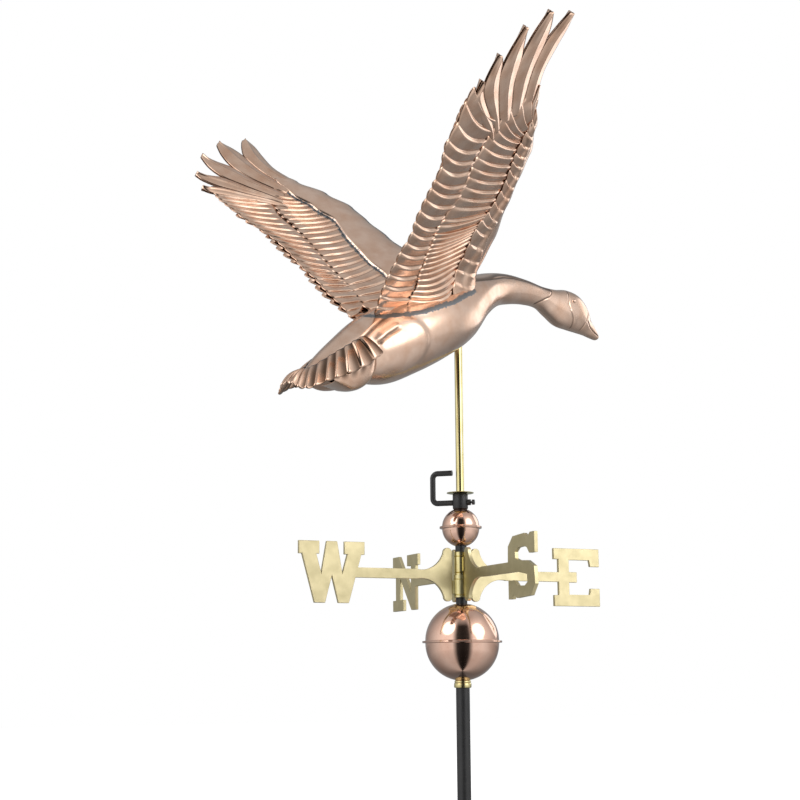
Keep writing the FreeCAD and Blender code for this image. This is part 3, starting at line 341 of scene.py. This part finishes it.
# The leading edge: (out, leading line, upper panel's rear line, under bead's rear line, size)
WING_SECTIONS = [
    (-20, 0, 84, 40, 1.0), (13, 0, 85, 40, 1.0), (62, 2, 92, 42, 1.0), (103, 7, 102, 44, 1.0),
    (158, 27, 105, 52, 1.0), (202, 39, 101, 58, 0.9), (240, 46, 119, 72, 0.85),
    (277, 71, 139, 95, 0.8), (312, 106, 146, 120, 0.5), (332, 120, 138, 125, 0.2)]
# Five long primaries: the lines of each one's front and rear edge, from under the coverts to its tip
PRIMARIES = [
    ([(100, 298), (114, 320), (130, 351), (133, 386), (133, 412), (137, 432)],
     [(128, 292), (140, 311), (158, 347), (165, 384), (158, 410), (147, 433)]),
    ([(128, 292), (140, 311), (158, 347), (166, 384), (174, 406), (187, 424)],
     [(146, 280), (163, 299), (184, 323), (200, 354), (203, 389), (197, 423)]),
    ([(146, 280), (163, 299), (184, 323), (200, 354), (217, 373), (231, 391)],
     [(160, 264), (179, 280), (205, 303), (229, 328), (238, 358), (237, 393)]),
    ([(160, 264), (179, 280), (205, 303), (229, 327), (244, 338), (259, 346)],
     [(164, 252), (184, 267), (222, 287), (249, 305), (262, 326), (266, 346)]),
    ([(164, 252), (184, 267), (222, 287), (247, 302), (258, 307), (268, 309)],
     [(160, 238), (178, 250), (222, 268), (256, 283), (266, 294), (272, 309)])]
# Height across one feather, as (share across, share of the height). Above and on the tail it climbs fast
# to a round rib and slopes down under the next one; below it rises slowly to a rib near its far side
FEATHER_STEPS = (
    (0.0, 0.04), (0.07, 0.50), (0.14, 0.90), (0.21, 1.0), (0.30, 0.86), (0.43, 0.60), (0.60, 0.36),
    (0.78, 0.16), (0.92, 0.03))
UNDER_STEPS = (
    (0.0, 0.02), (0.08, 0.14), (0.22, 0.30), (0.40, 0.48), (0.57, 0.68), (0.69, 0.86), (0.78, 1.0),
    (0.86, 0.92), (0.93, 0.50))


def wing_section(out):
    """The leading edge's lines and size at a place along the span."""
    outs = [row[0] for row in WING_SECTIONS]
    out = min(max(out, outs[0]), outs[-1])
    at = max(i for i in range(len(outs) - 1) if outs[i] <= out)
    part = ease(out, outs[at], outs[at + 1])
    return [a + (b - a) * part for a, b in zip(WING_SECTIONS[at][1:], WING_SECTIONS[at + 1][1:])]


# The leading edge's skins in millimetres: how far each one bulges, and how high it ends
PANEL_CROWN, BEAD_CROWN = 15.8, 10.5
PANEL_FOOT, BEAD_FOOT = 2.2, 3.2


def crowned(share, crown, foot, size):
    """How far the leading edge's skin stands off the wing's plane at a share of its width."""
    share = min(max(share, 0.0), 1.0)
    return size * crown * math.sqrt(share) * (1 - share) ** 0.55 + foot * share ** 0.625


ROOT_FLARE = 26.0


def root_flare(back, out):
    """How far the wing's underside flares out over the body: less further out and further back."""
    return ROOT_FLARE * (1 - ease(out, -5, 55)) * (1 - ease(back, 80, 165))


# The sheet of wings and tail and that of the body, in millimetres; the grid steps along a row's feathers
SHEET = 0.8
BODY_SHEET = 0.3
ROW_LENGTH = 16
# How far the small coverts lie over the bead
BEAD_CLEAR = 0.3
# Where the ribs of a row swell from its sheet, in millimetres before and behind their front ends
RIB_START = 8


def goose_skin(node, shape, material, thick=SHEET):
    """Finishes a copper skin that stands for the goose's solid of that name."""
    finish_piece(node + "_piece", shape, "figure", material, [node], thick=thick)


def feather_row(shape, side, face, ribs, each, level, rise, sag, tip, trim=0.0, lead_in=8.0,
                front_solder=0.0, cover=""):
    """A row of embossed feathers; all lengths are in millimetres.

    face is 1 above the wing and -1 below. The row has "each" feathers to a gap of the rib table. Its
    sheet stands off the wing's plane by level, and its ribs by rise more. sag bows the first and the last
    rib towards the root. tip rounds the feathers' rear ends, and trim moves them back. The sheet starts
    lead_in before its ribs. front_solder is how grey its front line is. cover names the leading edge's
    sheet that the row meets.
    """
    count = (len(ribs) - 1) * each
    fronts = [rib[:2] for rib in ribs]
    rears = [rib[2:] for rib in ribs]
    steps = FEATHER_STEPS if face > 0 else UNDER_STEPS
    columns = count * len(steps)

    def place(s, t):
        feather, step = divmod(round(s * columns), len(steps))
        part, height = steps[step]
        share = (feather + part) / count
        first, end = curve(fronts, share), curve(rears, share)
        end.x += trim
        if cover == "panel":
            first.x = min(first.x, wing_section(first.y)[1] + 1.0)
        start = first - (end - first).normalized() * lead_in
        run = end - start
        point = start + run * t
        point.y -= (sag[0] + (sag[1] - sag[0]) * share) * 4 * t * (1 - t)
        point += run.normalized() * (tip * math.sin(math.pi * part ** 1.5) ** 0.6 * t ** 5)
        # A rib swells from its front end, is fullest a little past the middle and fades at the rear
        full = ease(point.x, first.x - RIB_START, first.x + RIB_START)
        full *= 0.45 + 0.55 * math.sin(math.pi * (0.15 + 0.65 * t))
        full *= 1 - 0.6 * ease(t, 0.75, 1.0)
        lift = level * (1 - 0.6 * ease(t, 0.8, 1.0)) + rise * height * full
        # Painted shade: darker in the valley between ribs.
        dark = 0.5 * ease(0.16 - height, 0.0, 0.14) * ease(full, 0.1, 0.5)
        grey = front_solder * (1 - ease(point.x, first.x + 0.5, first.x + 3.5))
        if cover == "bead":
            lead, _, bead, size = wing_section(point.y)
            width = (point.x - lead) / max(bead - lead, 1.0)
            over_bead = crowned(width, BEAD_CROWN, BEAD_FOOT, size) + BEAD_CLEAR
            lift = max(lift, over_bead + rise * height * full * ease(t, 0.0, 0.3))
            dark *= ease(t, 0.1, 0.5)
        if face < 0:
            lift += root_flare(point.x, point.y)
        # Painted shade along the row's rear edge.
        dark = max(dark, 0.3 * ease(t, 0.97, 1.0))
        return wing_point(side, point.x, point.y, face * lift), dark, grey

    add_grid(shape, columns, ROW_LENGTH, place)


# A long primary in millimetres: its bulge, and its shaft above and below; the share where its swing starts
PRIMARY_CROWN = 2.6
SHAFT_ABOVE, SHAFT_BELOW = 1.8, 0.6
SWING_START = 0.45


def primary(shape, side, face, front, rear, level, swing):
    """A long primary: a crowned, sabre-shaped leaf with a raised shaft; swing moves its tip."""
    shaft = SHAFT_ABOVE if face > 0 else SHAFT_BELOW

    def place(s, t):
        first, last = curve(front, t), curve(rear, t)
        round_end = math.sqrt(max(1 - ease(t, 0.95, 1.005) ** 2, 0.0))
        point = (first + last) / 2 + (last - first) * (s - 0.5) * round_end
        point += swing * ease(t, SWING_START, 1.0)
        off = 2 * s - 1
        lift = level + PRIMARY_CROWN * (1 - off * off)
        lift += shaft * math.exp(-(off / 0.15) ** 2) * ease(t, 0.05, 0.3)
        # Painted shade along both edges, and below in the rear outer part.
        dark = 0.7 * ease(abs(off), 0.88, 1.0)
        dark += 0.6 * ease(s, 0.62, 0.8) * ease(t, 0.62, 0.8) * (face < 0)
        return wing_point(side, point.x, point.y, face * lift), dark, 0.0

    add_grid(shape, 16, 36, place)


# The leading edge: the share of its grid that makes the upper panel, how its columns crowd at the front,
# and how far out its root lies at the front and by how much less behind, in millimetres
PANEL_SHARE, CROWDING = 0.6, 1.6
ROOT_OUT, ROOT_BACK_STEP = 14, 34


def leading_edge(shape, side):
    """The rolled leading edge: smooth panel above, round bead below, its root clear of the tube."""
    tip_out = WING_SECTIONS[-1][0]

    def place(s, t):
        above = s < PANEL_SHARE
        share = (1 - s / PANEL_SHARE if above else (s - PANEL_SHARE) / (1 - PANEL_SHARE)) ** CROWDING
        root = ROOT_OUT - ROOT_BACK_STEP * ease(share, 0.25, 0.8)
        out = root + (tip_out - root) * t
        lead, panel, bead, size = wing_section(out)
        if above:
            up = crowned(share, PANEL_CROWN, PANEL_FOOT, size)
            up += 0.4 * ease(share, 0.80, 0.90) * (1 - ease(share, 0.92, 1.0))
            grey = (1 - ease(share, 0.09, 0.16)) * 0.8 + ease(share, 0.975, 1.0) * 0.8
            return wing_point(side, lead + (panel - lead) * share, out, up), 0.0, grey
        # Below: the round bead, with painted shade at its rear foot.
        up = -crowned(share, BEAD_CROWN, BEAD_FOOT, size) - root_flare(40, out) * share
        return wing_point(side, lead + (bead - lead) * share, out, up), 0.3 * ease(share, 0.9, 1.0), 0.0

    add_grid(shape, 50, 90, place)


def make_wing(side, word, under_trim, upper_trim, swing):
    """All the pieces of one wing.

    The trims of its rows and the swing of its last primaries set it apart from the other wing.
    """
    shape = new_shape()
    feather_row(shape, side, -1, UNDER_FLIGHT_RIBS, 1, 0.6, 3.8, (4, 11), 6, under_trim)
    feather_row(shape, side, 1, UPPER_FLIGHT_RIBS, 2, 0.6, 2.2, (3, 6), 2.5, upper_trim)
    for number, (front, rear) in enumerate(PRIMARIES):
        back = swing * ease(number, 1, 3)
        primary(shape, side, -1, front, rear, 0.5 + 0.2 * number, back)
        primary(shape, side, 1, front, rear, 0.5 + 0.2 * (len(PRIMARIES) - number), back)
    goose_skin(word + "_flight_feathers", shape, FEATHER_COPPER)

    shape = new_shape()
    feather_row(shape, side, -1, UNDER_COVERT_RIBS[:9], 2, 2.2, 3.0, (3, 4), 3, lead_in=12.0)
    feather_row(shape, side, -1, UNDER_COVERT_RIBS[8:], 1, 2.0, 3.6, (4, 8), 4, lead_in=12.0)
    goose_skin(word + "_under_coverts", shape, FEATHER_COPPER)

    shape = new_shape()
    feather_row(shape, side, -1, SMALL_COVERT_RIBS, 2, 3.0, 2.8, (2, 3), 5, lead_in=0.0, cover="bead")
    goose_skin(word + "_small_coverts", shape, FEATHER_COPPER)

    shape = new_shape()
    feather_row(shape, side, 1, UPPER_COVERT_RIBS, 2, 1.6, 2.4, (4, 6), 4, front_solder=0.9,
                cover="panel")
    goose_skin(word + "_upper_coverts", shape, FEATHER_COPPER)

    shape = new_shape()
    leading_edge(shape, side)
    goose_skin(word + "_leading_edge", shape, GOOSE_COPPER)


make_wing(-1, "right", 0, 0, Vector((-12, 5)))
make_wing(1, "left", -9, -4, Vector((8, -10)))


# Body: stations (upper x, upper z, lower x, lower z, half width)

BODY_SECTIONS = [
    (-317, 232, -312, 225, 3), (-311, 238, -305, 228, 6), (-296, 250, -284, 240, 13),
    (-276, 273, -252, 243, 20), (-245, 301, -212, 246, 29), (-204, 334, -152, 252, 42),
    (-152, 364, -100, 273, 53), (-97, 391, -45, 301, 57), (-41, 414, 7, 334, 50),
    (10, 433, 44, 374, 39), (57, 448, 81, 401, 27), (104, 456, 115, 412, 21),
    (152, 456, 152, 418, 18), (189, 453, 185, 418, 16.5), (222, 454, 209, 408, 19),
    (249, 458, 233, 398, 22), (276, 455, 259, 396, 22), (297, 441, 285, 395, 17.7),
    (308, 425, 302, 394, 12), (321, 411, 319, 392, 9.4), (333, 400, 330, 391, 6.3),
    (335, 396, 333, 392, 3)]
# Lines on the goose's side: seam of the wing, thigh, neck, face and bill. Each is a route of (x, z)
# points, a half width, how far it pushes the skin out, how dark its painted shade is, and solder
BODY_MARKS = [
    ([(-196, 338), (-183, 336), (-153, 342), (-122, 350), (-96, 361), (-65, 373), (-10, 402)],
     2.6, 0.8, 0.0, 1.0),
    ([(-169, 319), (-185, 308), (-199, 296)], 1.5, -2.5, 1.0, 0.0),
    ([(-171, 324), (-187, 313), (-201, 301)], 2.4, 1.6, 0.0, 0.0),
    ([(-178, 336), (-203, 316), (-218, 302)], 1.4, -1.6, 0.9, 0.0),
    ([(9, 422), (39, 430), (82, 443), (107, 447), (141, 449), (172, 448), (202, 446)],
     1.0, -0.8, 1.0, 0.0),
    ([(205, 448), (200, 440), (194, 435), (181, 428), (168, 421)], 1.0, -1.0, 0.9, 0.0),
    ([(246, 455), (240, 444), (236, 430), (241, 420), (250, 410), (256, 398)], 1.0, -1.0, 0.8, 0.0),
    ([(243, 418), (250, 414), (258, 404)], 2.6, 0.8, 0.0, 0.0),
    ([(297, 440), (291, 426), (285, 412), (279, 398)], 1.2, -1.0, 0.6, 0.0),
    ([(290, 412), (303, 405), (318, 399), (330, 396)], 0.9, -0.9, 1.0, 0.0),
]
# The neck's line: its start and length along x, and the x places between which a band of painted shade
# follows it
NECK_SEAM = BODY_MARKS[4][0]
NECK_SEAM_START, NECK_SEAM_LENGTH = 9, 193
NECK_BAND = (12, 205)
# The thigh's round bulge: its middle as (x, z), its radius and its height
THIGH = Vector((-158, 300))
THIGH_ROUND = 43
THIGH_PUSH = 2.4
# The least distance of a body half and of a tail half from the goose's middle plane
BODY_HALF_GAP, TAIL_HALF_GAP = 0.15, 0.4


def away(point, route):
    """The distance from a point to a route of straight runs."""
    best = 1e9
    for start, end in zip(route, route[1:]):
        a, b = Vector(start), Vector(end)
        t = min(max((point - a).dot(b - a) / (b - a).length_squared, 0.0), 1.0)
        best = min(best, (point - a.lerp(b, t)).length)
    return best


def body_place(share, angle):
    """A point of the goose's skin, its painted shade and solder; the angle runs from belly (-90) to back
    (90).
    """
    upper_x, upper_z, lower_x, lower_z, wide = curve(BODY_SECTIONS, share)
    rise = (math.sin(angle) + 1) / 2
    x = lower_x + (upper_x - lower_x) * rise
    z = lower_z + (upper_z - lower_z) * rise
    flat = Vector((x, z))
    push = THIGH_PUSH * ease(THIGH_ROUND - (flat - THIGH).length, -3, 9) * math.cos(angle)
    dark = grey = 0.0
    # Each line pushes the skin and lays painted shade and solder along its route.
    for route, half, out, painted_shade_weight, solder in BODY_MARKS:
        reach = half * 2.2
        low_x, high_x = min(p[0] for p in route) - reach, max(p[0] for p in route) + reach
        if low_x < x < high_x:
            near = 1 - ease(away(flat, route), half * 0.3, reach)
            push += out * near
            dark = max(dark, painted_shade_weight * near)
            grey = max(grey, solder * near)
    # Painted shade: a dark band just above the neck's line.
    if NECK_BAND[0] < x < NECK_BAND[1]:
        above = z - curve(NECK_SEAM, (x - NECK_SEAM_START) / NECK_SEAM_LENGTH).y
        dark = max(dark, 0.85 * ease(above, 0.0, 1.5) * (1 - ease(above, 3.0, 9.0)))
    # Painted shade: a thin darker line along the back and belly, where the halves meet.
    dark = max(dark, 0.6 * (1 - ease(math.cos(angle), 0.0, 0.05)))
    return Vector((x, math.cos(angle) * (wide + push), z)), dark, grey


def make_body_half(side, word):
    """One pressed half of body, neck, head and bill."""
    shape = new_shape()

    def place(s, t):
        point, dark, grey = body_place(t, (s - 0.5) * math.pi)
        return goose_point(point.x, max(point.y, BODY_HALF_GAP) * side, point.z), dark, grey

    add_grid(shape, 72, 420, place)
    bmesh.ops.remove_doubles(shape, verts=shape.verts, dist=SAME_POINT)
    goose_skin("body_%s_half" % word, shape, GOOSE_COPPER, BODY_SHEET)


make_body_half(-1, "right")
make_body_half(1, "left")


# Tail: each half is a skirt of feathers from a line of roots to a line of tips, over a polished lobe

TAIL_ROOTS = [
    (-303, 0.5, 250), (-302, 4, 250), (-298, 6, 251), (-287, 9, 257), (-272, 16, 268),
    (-257, 19, 278), (-242, 23, 288), (-229, 26, 297), (-216, 28, 304)]
TAIL_TIPS = [
    (-325, 0.5, 229), (-326, 9, 227), (-321, 18, 221), (-312, 28, 221), (-294, 35, 230),
    (-275, 38, 238), (-250, 41, 249), (-219, 42, 265), (-196, 41, 284)]
TAIL_COUNT = 10
TAIL_LIFT_WAY = Vector((-0.45, 0.45, 0.77)).normalized()
# How high a rib stands, how far the skirt bellies and how far its tips are rounded, in millimetres
TAIL_RIB, TAIL_BELLY, TAIL_TIP_ROUND = 3.4, 2.5, 3
# The lobe's pockets along its upper line and their depth, and how far the far lobe's front is raised
LOBE_POCKETS, POCKET_DEPTH = 6, 2.0
FAR_LOBE_RAISE = 12
# The lobe from its upper line to the goose's middle, each line from the rear to the front
LOBE_LINES = [
    [(-280, 36, 236), (-268, 39, 240), (-248, 40, 249), (-228, 40, 260), (-209, 38, 274),
     (-196, 33, 286)],
    [(-276, 33, 234), (-262, 34, 231), (-244, 34, 230), (-226, 33, 236), (-208, 31, 248),
     (-194, 28, 268)],
    [(-272, 18, 233), (-256, 18, 230), (-238, 17, 228), (-218, 16, 234), (-200, 14, 247),
     (-186, 12, 264)],
    [(-268, 0.5, 234), (-252, 0.5, 232), (-234, 0.5, 231), (-214, 0.5, 238), (-196, 0.5, 250),
     (-182, 0.5, 264)]]


def make_tail_half(side, word):
    """One half of the cupped fan of tail feathers, with its lobe."""
    shape = new_shape()
    columns = TAIL_COUNT * len(FEATHER_STEPS)

    def skirt(s, t):
        feather, step = divmod(round(s * columns), len(FEATHER_STEPS))
        part, height = FEATHER_STEPS[step]
        share = (feather + part) / TAIL_COUNT
        start, end = curve(TAIL_ROOTS, share), curve(TAIL_TIPS, share)
        run = end - start
        point = start + run * t
        point += run.normalized() * (TAIL_TIP_ROUND * math.sin(math.pi * part) ** 0.6 * t ** 4)
        rib = TAIL_RIB * height * math.sin(math.pi * (0.12 + 0.6 * t))
        point += TAIL_LIFT_WAY * (0.5 + rib + TAIL_BELLY * math.sin(math.pi * t))
        # Painted shade: darker in the valleys between feathers, more so away from the middle, and along the
        # roots.
        dark = (1 - ease(height, 0.1, 1.0)) * (0.5 + 0.5 * ease(share, 0.15, 0.45))
        dark = max(dark * (1 - 0.6 * height * ease(t, 0.6, 1.0)), 0.8 * (1 - ease(t, 0.0, 0.06)))
        grey = 0.7 * (1 - ease(t, 0.0, 0.05))
        return goose_point(point.x, max(point.y, TAIL_HALF_GAP) * side, point.z), dark, grey

    def lobe(s, t):
        point = curve([curve(line, t) for line in LOBE_LINES], s)
        pocket = abs(math.sin(math.pi * t * LOBE_POCKETS)) * (1 - ease(s, 0.05, 0.22))
        point.z += POCKET_DEPTH * pocket + max(side, 0) * FAR_LOBE_RAISE * (1 - t)
        # Painted shade in the pockets.
        return goose_point(point.x, max(point.y, TAIL_HALF_GAP) * side, point.z), 0.9 * pocket, 0.0

    add_grid(shape, columns, 16, skirt)
    add_grid(shape, 24, 40, lobe)
    goose_skin(word + "_tail_fan", shape, FEATHER_COPPER)


make_tail_half(-1, "right")
make_tail_half(1, "left")


# Turned pieces of the mast and of the tube


def levels(node):
    """A node's lowest and highest level in millimetres."""
    low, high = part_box(node)
    return low.z / MM, high.z / MM


# A ball's wall, and the radii of the holes about the lower and the upper rod, in millimetres
BALL_WALL = 1.0
LOWER_HOLE, UPPER_HOLE = 9.15, 8.0


def ball_profile(radius, rim, skirt, seam, hole, up):
    """Half of a spun ball: rolled rim, outer wall up to the pole, then the inner wall back."""
    way = 1 if up else -1
    inside = radius - BALL_WALL
    outer = [(rim, seam), (rim + 0.35, seam + way * 0.65), (rim, seam + way * 1.3),
             (radius + 0.8, seam + way * 1.35), (radius + 0.1, seam + way * 1.9)]
    stop = math.acos(hole / radius)
    outer += [(radius * math.cos(stop * i / 30),
               seam + way * (skirt + radius * math.sin(stop * i / 30))) for i in range(1, 31)]
    stop = math.acos(hole / inside)
    inner = [(inside * math.cos(stop * i / 12),
              seam + way * (skirt + inside * math.sin(stop * i / 12))) for i in range(12, -1, -1)]
    return outer + inner + [(inside, seam)]


for size, radius, rim, skirt in (("large", 51.3, 55.25, 1.8), ("small", 26.2, 29.45, 1.0)):
    for word, up in (("lower", False), ("upper", True)):
        node = "%s_ball_%s" % (size, word)
        seam = levels(node)[0 if up else 1]
        hole = LOWER_HOLE if node == "large_ball_lower" else UPPER_HOLE
        profile = ball_profile(radius, rim, skirt, seam, hole, up)
        turned_piece(node + "_piece", profile, "mast", BALL_COPPER, [node], turns=128)

base, top = levels("ferrule")
turned_piece("ferrule_piece", [
    (LOWER_HOLE, base), (10.8, base), (11.7, base + 0.5), (12, base + 1.4), (12.1, base + 5),
    (11.6, base + 6.5), (11.2, base + 7), (11.4, base + 7.6), (11.4, base + 9), (10.6, top),
    (LOWER_HOLE, top)],
    "mast", TURNED_BRASS, ["ferrule"], turns=64)
base, top = levels("stop_collar")
turned_piece("stop_collar_piece", [
    (7.99, base), (9.6, base), (10.4, base + 0.5), (10.8, base + 1.4), (10.8, top - 1.4),
    (10.4, top - 0.5), (9.6, top), (7.99, top)],
    "mast", MAST_BLACK, ["stop_collar"], turns=64)
base, top = levels("tube_flange")
turned_piece("tube_flange_piece", [
    (5.7, base), (18.6, base), (19.2, base + 0.3), (19.3, base + 0.6), (19.0, top), (5.7, top)],
    "figure", TURNED_BRASS, ["tube_flange"])

for node in ("east_arm", "north_arm", "west_arm", "south_arm"):
    copied_piece(node, "directionals", LETTER_BRASS, 0.5)

# The solids that stay as they are take their materials
for material, nodes in (
        (MAST_BLACK, ("lift_hook", "hook_nut", "collar_screw", "lower_rod", "upper_rod",
                      "hub_set_screws")),
        (TURNED_BRASS, ("upper_hub", "tube_plug")),
        (HUB_BRASS, ("lower_hub",)),
        (DRAWN_BRASS, ("figure_tube",)),
        (STEEL, ("pivot_ball",)),
        (GOOSE_COPPER, ("tube_braces", "eyes"))):
    for node in nodes:
        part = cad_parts[node]
        part.data.materials.clear()
        part.data.materials.append(material)


# Floor, lamps, world and camera. The camera looks along VIEW from the south-west

VIEW = Vector((0.393, 0.920, 0.0))
# What the lamps point at, in metres
CENTRE = Vector((0.0, 0.0, 0.75))
# Half the floor's width in metres, and how far it lies under the foot in millimetres
FLOOR_REACH = 8.0
FLOOR_DROP = 0.5
# The camera: its place in millimetres from the mast's line and the hubs' split, its turn, tilt and roll
# in degrees, its focal length in pixels of a picture this wide, and its sensor's width in millimetres
CAMERA_PLACE = (-888, -1865, -137.4)
CAMERA_TURN, CAMERA_TILT, CAMERA_ROLL = 23.12, 10.64, -0.35
FOCAL_PIXELS, PICTURE_PIXELS = 1466, 800
SENSOR_WIDTH = 36.0


def studio_walls(tree, way):
    """What metal mirrors along a level direction: bright screens at the sides, dark at the camera."""
    flat = add(tree, "VectorMath", {"operation": "MULTIPLY"}, {0: way, 1: (1.0, 1.0, 0.0)}, "Vector")
    flat = add(tree, "VectorMath", {"operation": "NORMALIZE"}, {0: flat}, "Vector")
    turn = add(tree, "VectorMath", {"operation": "DOT_PRODUCT"}, {0: flat, 1: -VIEW}, "Value")
    share = add(tree, "MapRange", {}, {"Value": turn, "From Min": -1.0}, "Result")
    return add(tree, "ValToRGB", {"stops": [
        (0.0, "8c9296"), (0.10, "8e9092"), (0.28, "b4b4b4"), (0.50, "dedede"), (0.72, "ffffff"),
        (0.92, "ffffff"), (0.975, "3c3c3c"), (1.0, "262626")]}, {"Fac": share}, "Color")


def make_floor():
    """A pale floor under the foot; it looks as white as the backdrop and keeps the shadow, and in
    reflections it glows with painted shade.
    """
    shape = bmesh.new()
    bmesh.ops.create_grid(shape, x_segments=8, y_segments=8, size=FLOOR_REACH)
    bmesh.ops.translate(shape, verts=shape.verts, vec=(0, 0, -FLOOR_DROP * MM))
    mesh = bpy.data.meshes.new("floor")
    shape.to_mesh(mesh)
    shape.free()
    floor = bpy.data.objects.new("floor", mesh)
    bpy.context.scene.collection.objects.link(floor)
    material, tree = new_material("pale_paper_floor")
    camera_ray = add(tree, "LightPath", {}, {}, "Is Camera Ray")
    glossy_ray = add(tree, "LightPath", {}, {}, "Is Glossy Ray")
    place = add(tree, "TexCoord", {}, {}, "Object")
    # In reflections the floor glows in the screens' pattern, darker towards the camera, and dimmer near the
    # foot: painted shade.
    far = add(tree, "VectorMath", {"operation": "LENGTH"}, {0: place}, "Value")
    near = add(tree, "MapRange", {}, {"Value": far, "From Min": 0.1, "From Max": 1.2, "To Min": 0.55,
                                      "To Max": 0.95}, "Result")
    paper = add(tree, "BsdfDiffuse", {}, {"Color": "e8e8e8"})
    glow = add(tree, "Emission", {}, {"Color": "ffffff", "Strength": 0.75})
    lit = add(tree, "AddShader", {}, {0: paper, 1: glow})
    mirror = add(tree, "Emission", {}, {"Color": studio_walls(tree, place), "Strength": near})
    shown = add(tree, "MixShader", {}, {"Fac": camera_ray, 1: paper, 2: lit})
    final = add(tree, "MixShader", {}, {"Fac": glossy_ray, 1: shown, 2: mirror})
    add(tree, "OutputMaterial", {}, {"Surface": final})
    mesh.materials.append(material)


def make_world():
    """A white studio: white behind the object, bright screens at the sides, dark at the camera."""
    world = bpy.data.worlds.new("studio")
    bpy.context.scene.world = world
    world.use_nodes = True
    tree = world.node_tree
    tree.nodes.clear()
    camera_ray = add(tree, "LightPath", {}, {}, "Is Camera Ray")
    clear_ray = add(tree, "LightPath", {}, {}, "Is Transmission Ray")
    glossy_ray = add(tree, "LightPath", {}, {}, "Is Glossy Ray")
    way = add(tree, "TexCoord", {}, {}, "Generated")
    up = add(tree, "VectorMath", {"operation": "DOT_PRODUCT"}, {0: way, 1: (0.0, 0.0, 1.0)}, "Value")
    over = add(tree, "MapRange", {}, {"Value": up, "From Min": 0.70, "From Max": 0.93}, "Result")
    walls = studio_walls(tree, way)
    room = add(tree, "Mix", {"data_type": "RGBA"}, {0: over, 6: walls, 7: "b4b4b4"}, 2)
    soft = add(tree, "Background", {}, {"Color": "ffffff", "Strength": 0.5})
    mirror = add(tree, "Background", {}, {"Color": room, "Strength": 1.25})
    white = add(tree, "Background", {}, {"Color": "ffffff", "Strength": 1.0})
    metal = add(tree, "MixShader", {}, {"Fac": glossy_ray, 1: soft, 2: mirror})
    plain = add(tree, "Math", {"operation": "MAXIMUM"}, {0: camera_ray, 1: clear_ray})
    final = add(tree, "MixShader", {}, {"Fac": plain, 1: metal, 2: white})
    add(tree, "OutputWorld", {}, {"Surface": final})


def make_lamp(name, place, size, power):
    """A round soft lamp that points at the weathervane; place and width in metres, power in watts."""
    lamp = bpy.data.lights.new(name, "AREA")
    lamp.shape = "DISK"
    lamp.size = size
    lamp.energy = power
    holder = bpy.data.objects.new(name, lamp)
    bpy.context.scene.collection.objects.link(holder)
    holder.location = place
    holder.rotation_euler = (CENTRE - Vector(place)).to_track_quat("-Z", "Y").to_euler()


def make_camera():
    """The photograph's viewpoint: low, from the south-west, tilted up."""
    turn, pitch, roll = (math.radians(degrees) for degrees in (CAMERA_TURN, CAMERA_TILT, CAMERA_ROLL))
    ahead = Vector((math.sin(turn) * math.cos(pitch), math.cos(turn) * math.cos(pitch),
                    math.sin(pitch)))
    right = Vector((math.cos(turn), -math.sin(turn), 0))
    up = right.cross(ahead)
    rolled_right = right * math.cos(roll) + up * math.sin(roll)
    rolled_up = up * math.cos(roll) - right * math.sin(roll)
    data = bpy.data.cameras.new("camera")
    data.sensor_width = SENSOR_WIDTH
    data.lens = FOCAL_PIXELS / PICTURE_PIXELS * SENSOR_WIDTH
    camera = bpy.data.objects.new("camera", data)
    bpy.context.scene.collection.objects.link(camera)
    spin = Matrix((rolled_right, rolled_up, -ahead)).transposed()
    place = (Vector(CAMERA_PLACE) + Vector((0, 0, HUB_SPLIT))) * MM
    camera.matrix_world = Matrix.Translation(place) @ spin.to_4x4()
    bpy.context.scene.camera = camera


make_floor()
make_world()
make_lamp("key", (-2.6, -0.7, 2.3), 2.4, 24)
make_lamp("fill", (1.5, -2.4, 1.8), 2.4, 22)
make_lamp("side", (2.8, 0.9, 1.6), 2.0, 12)
make_camera()
bpy.context.scene.view_settings.view_transform = "Standard"
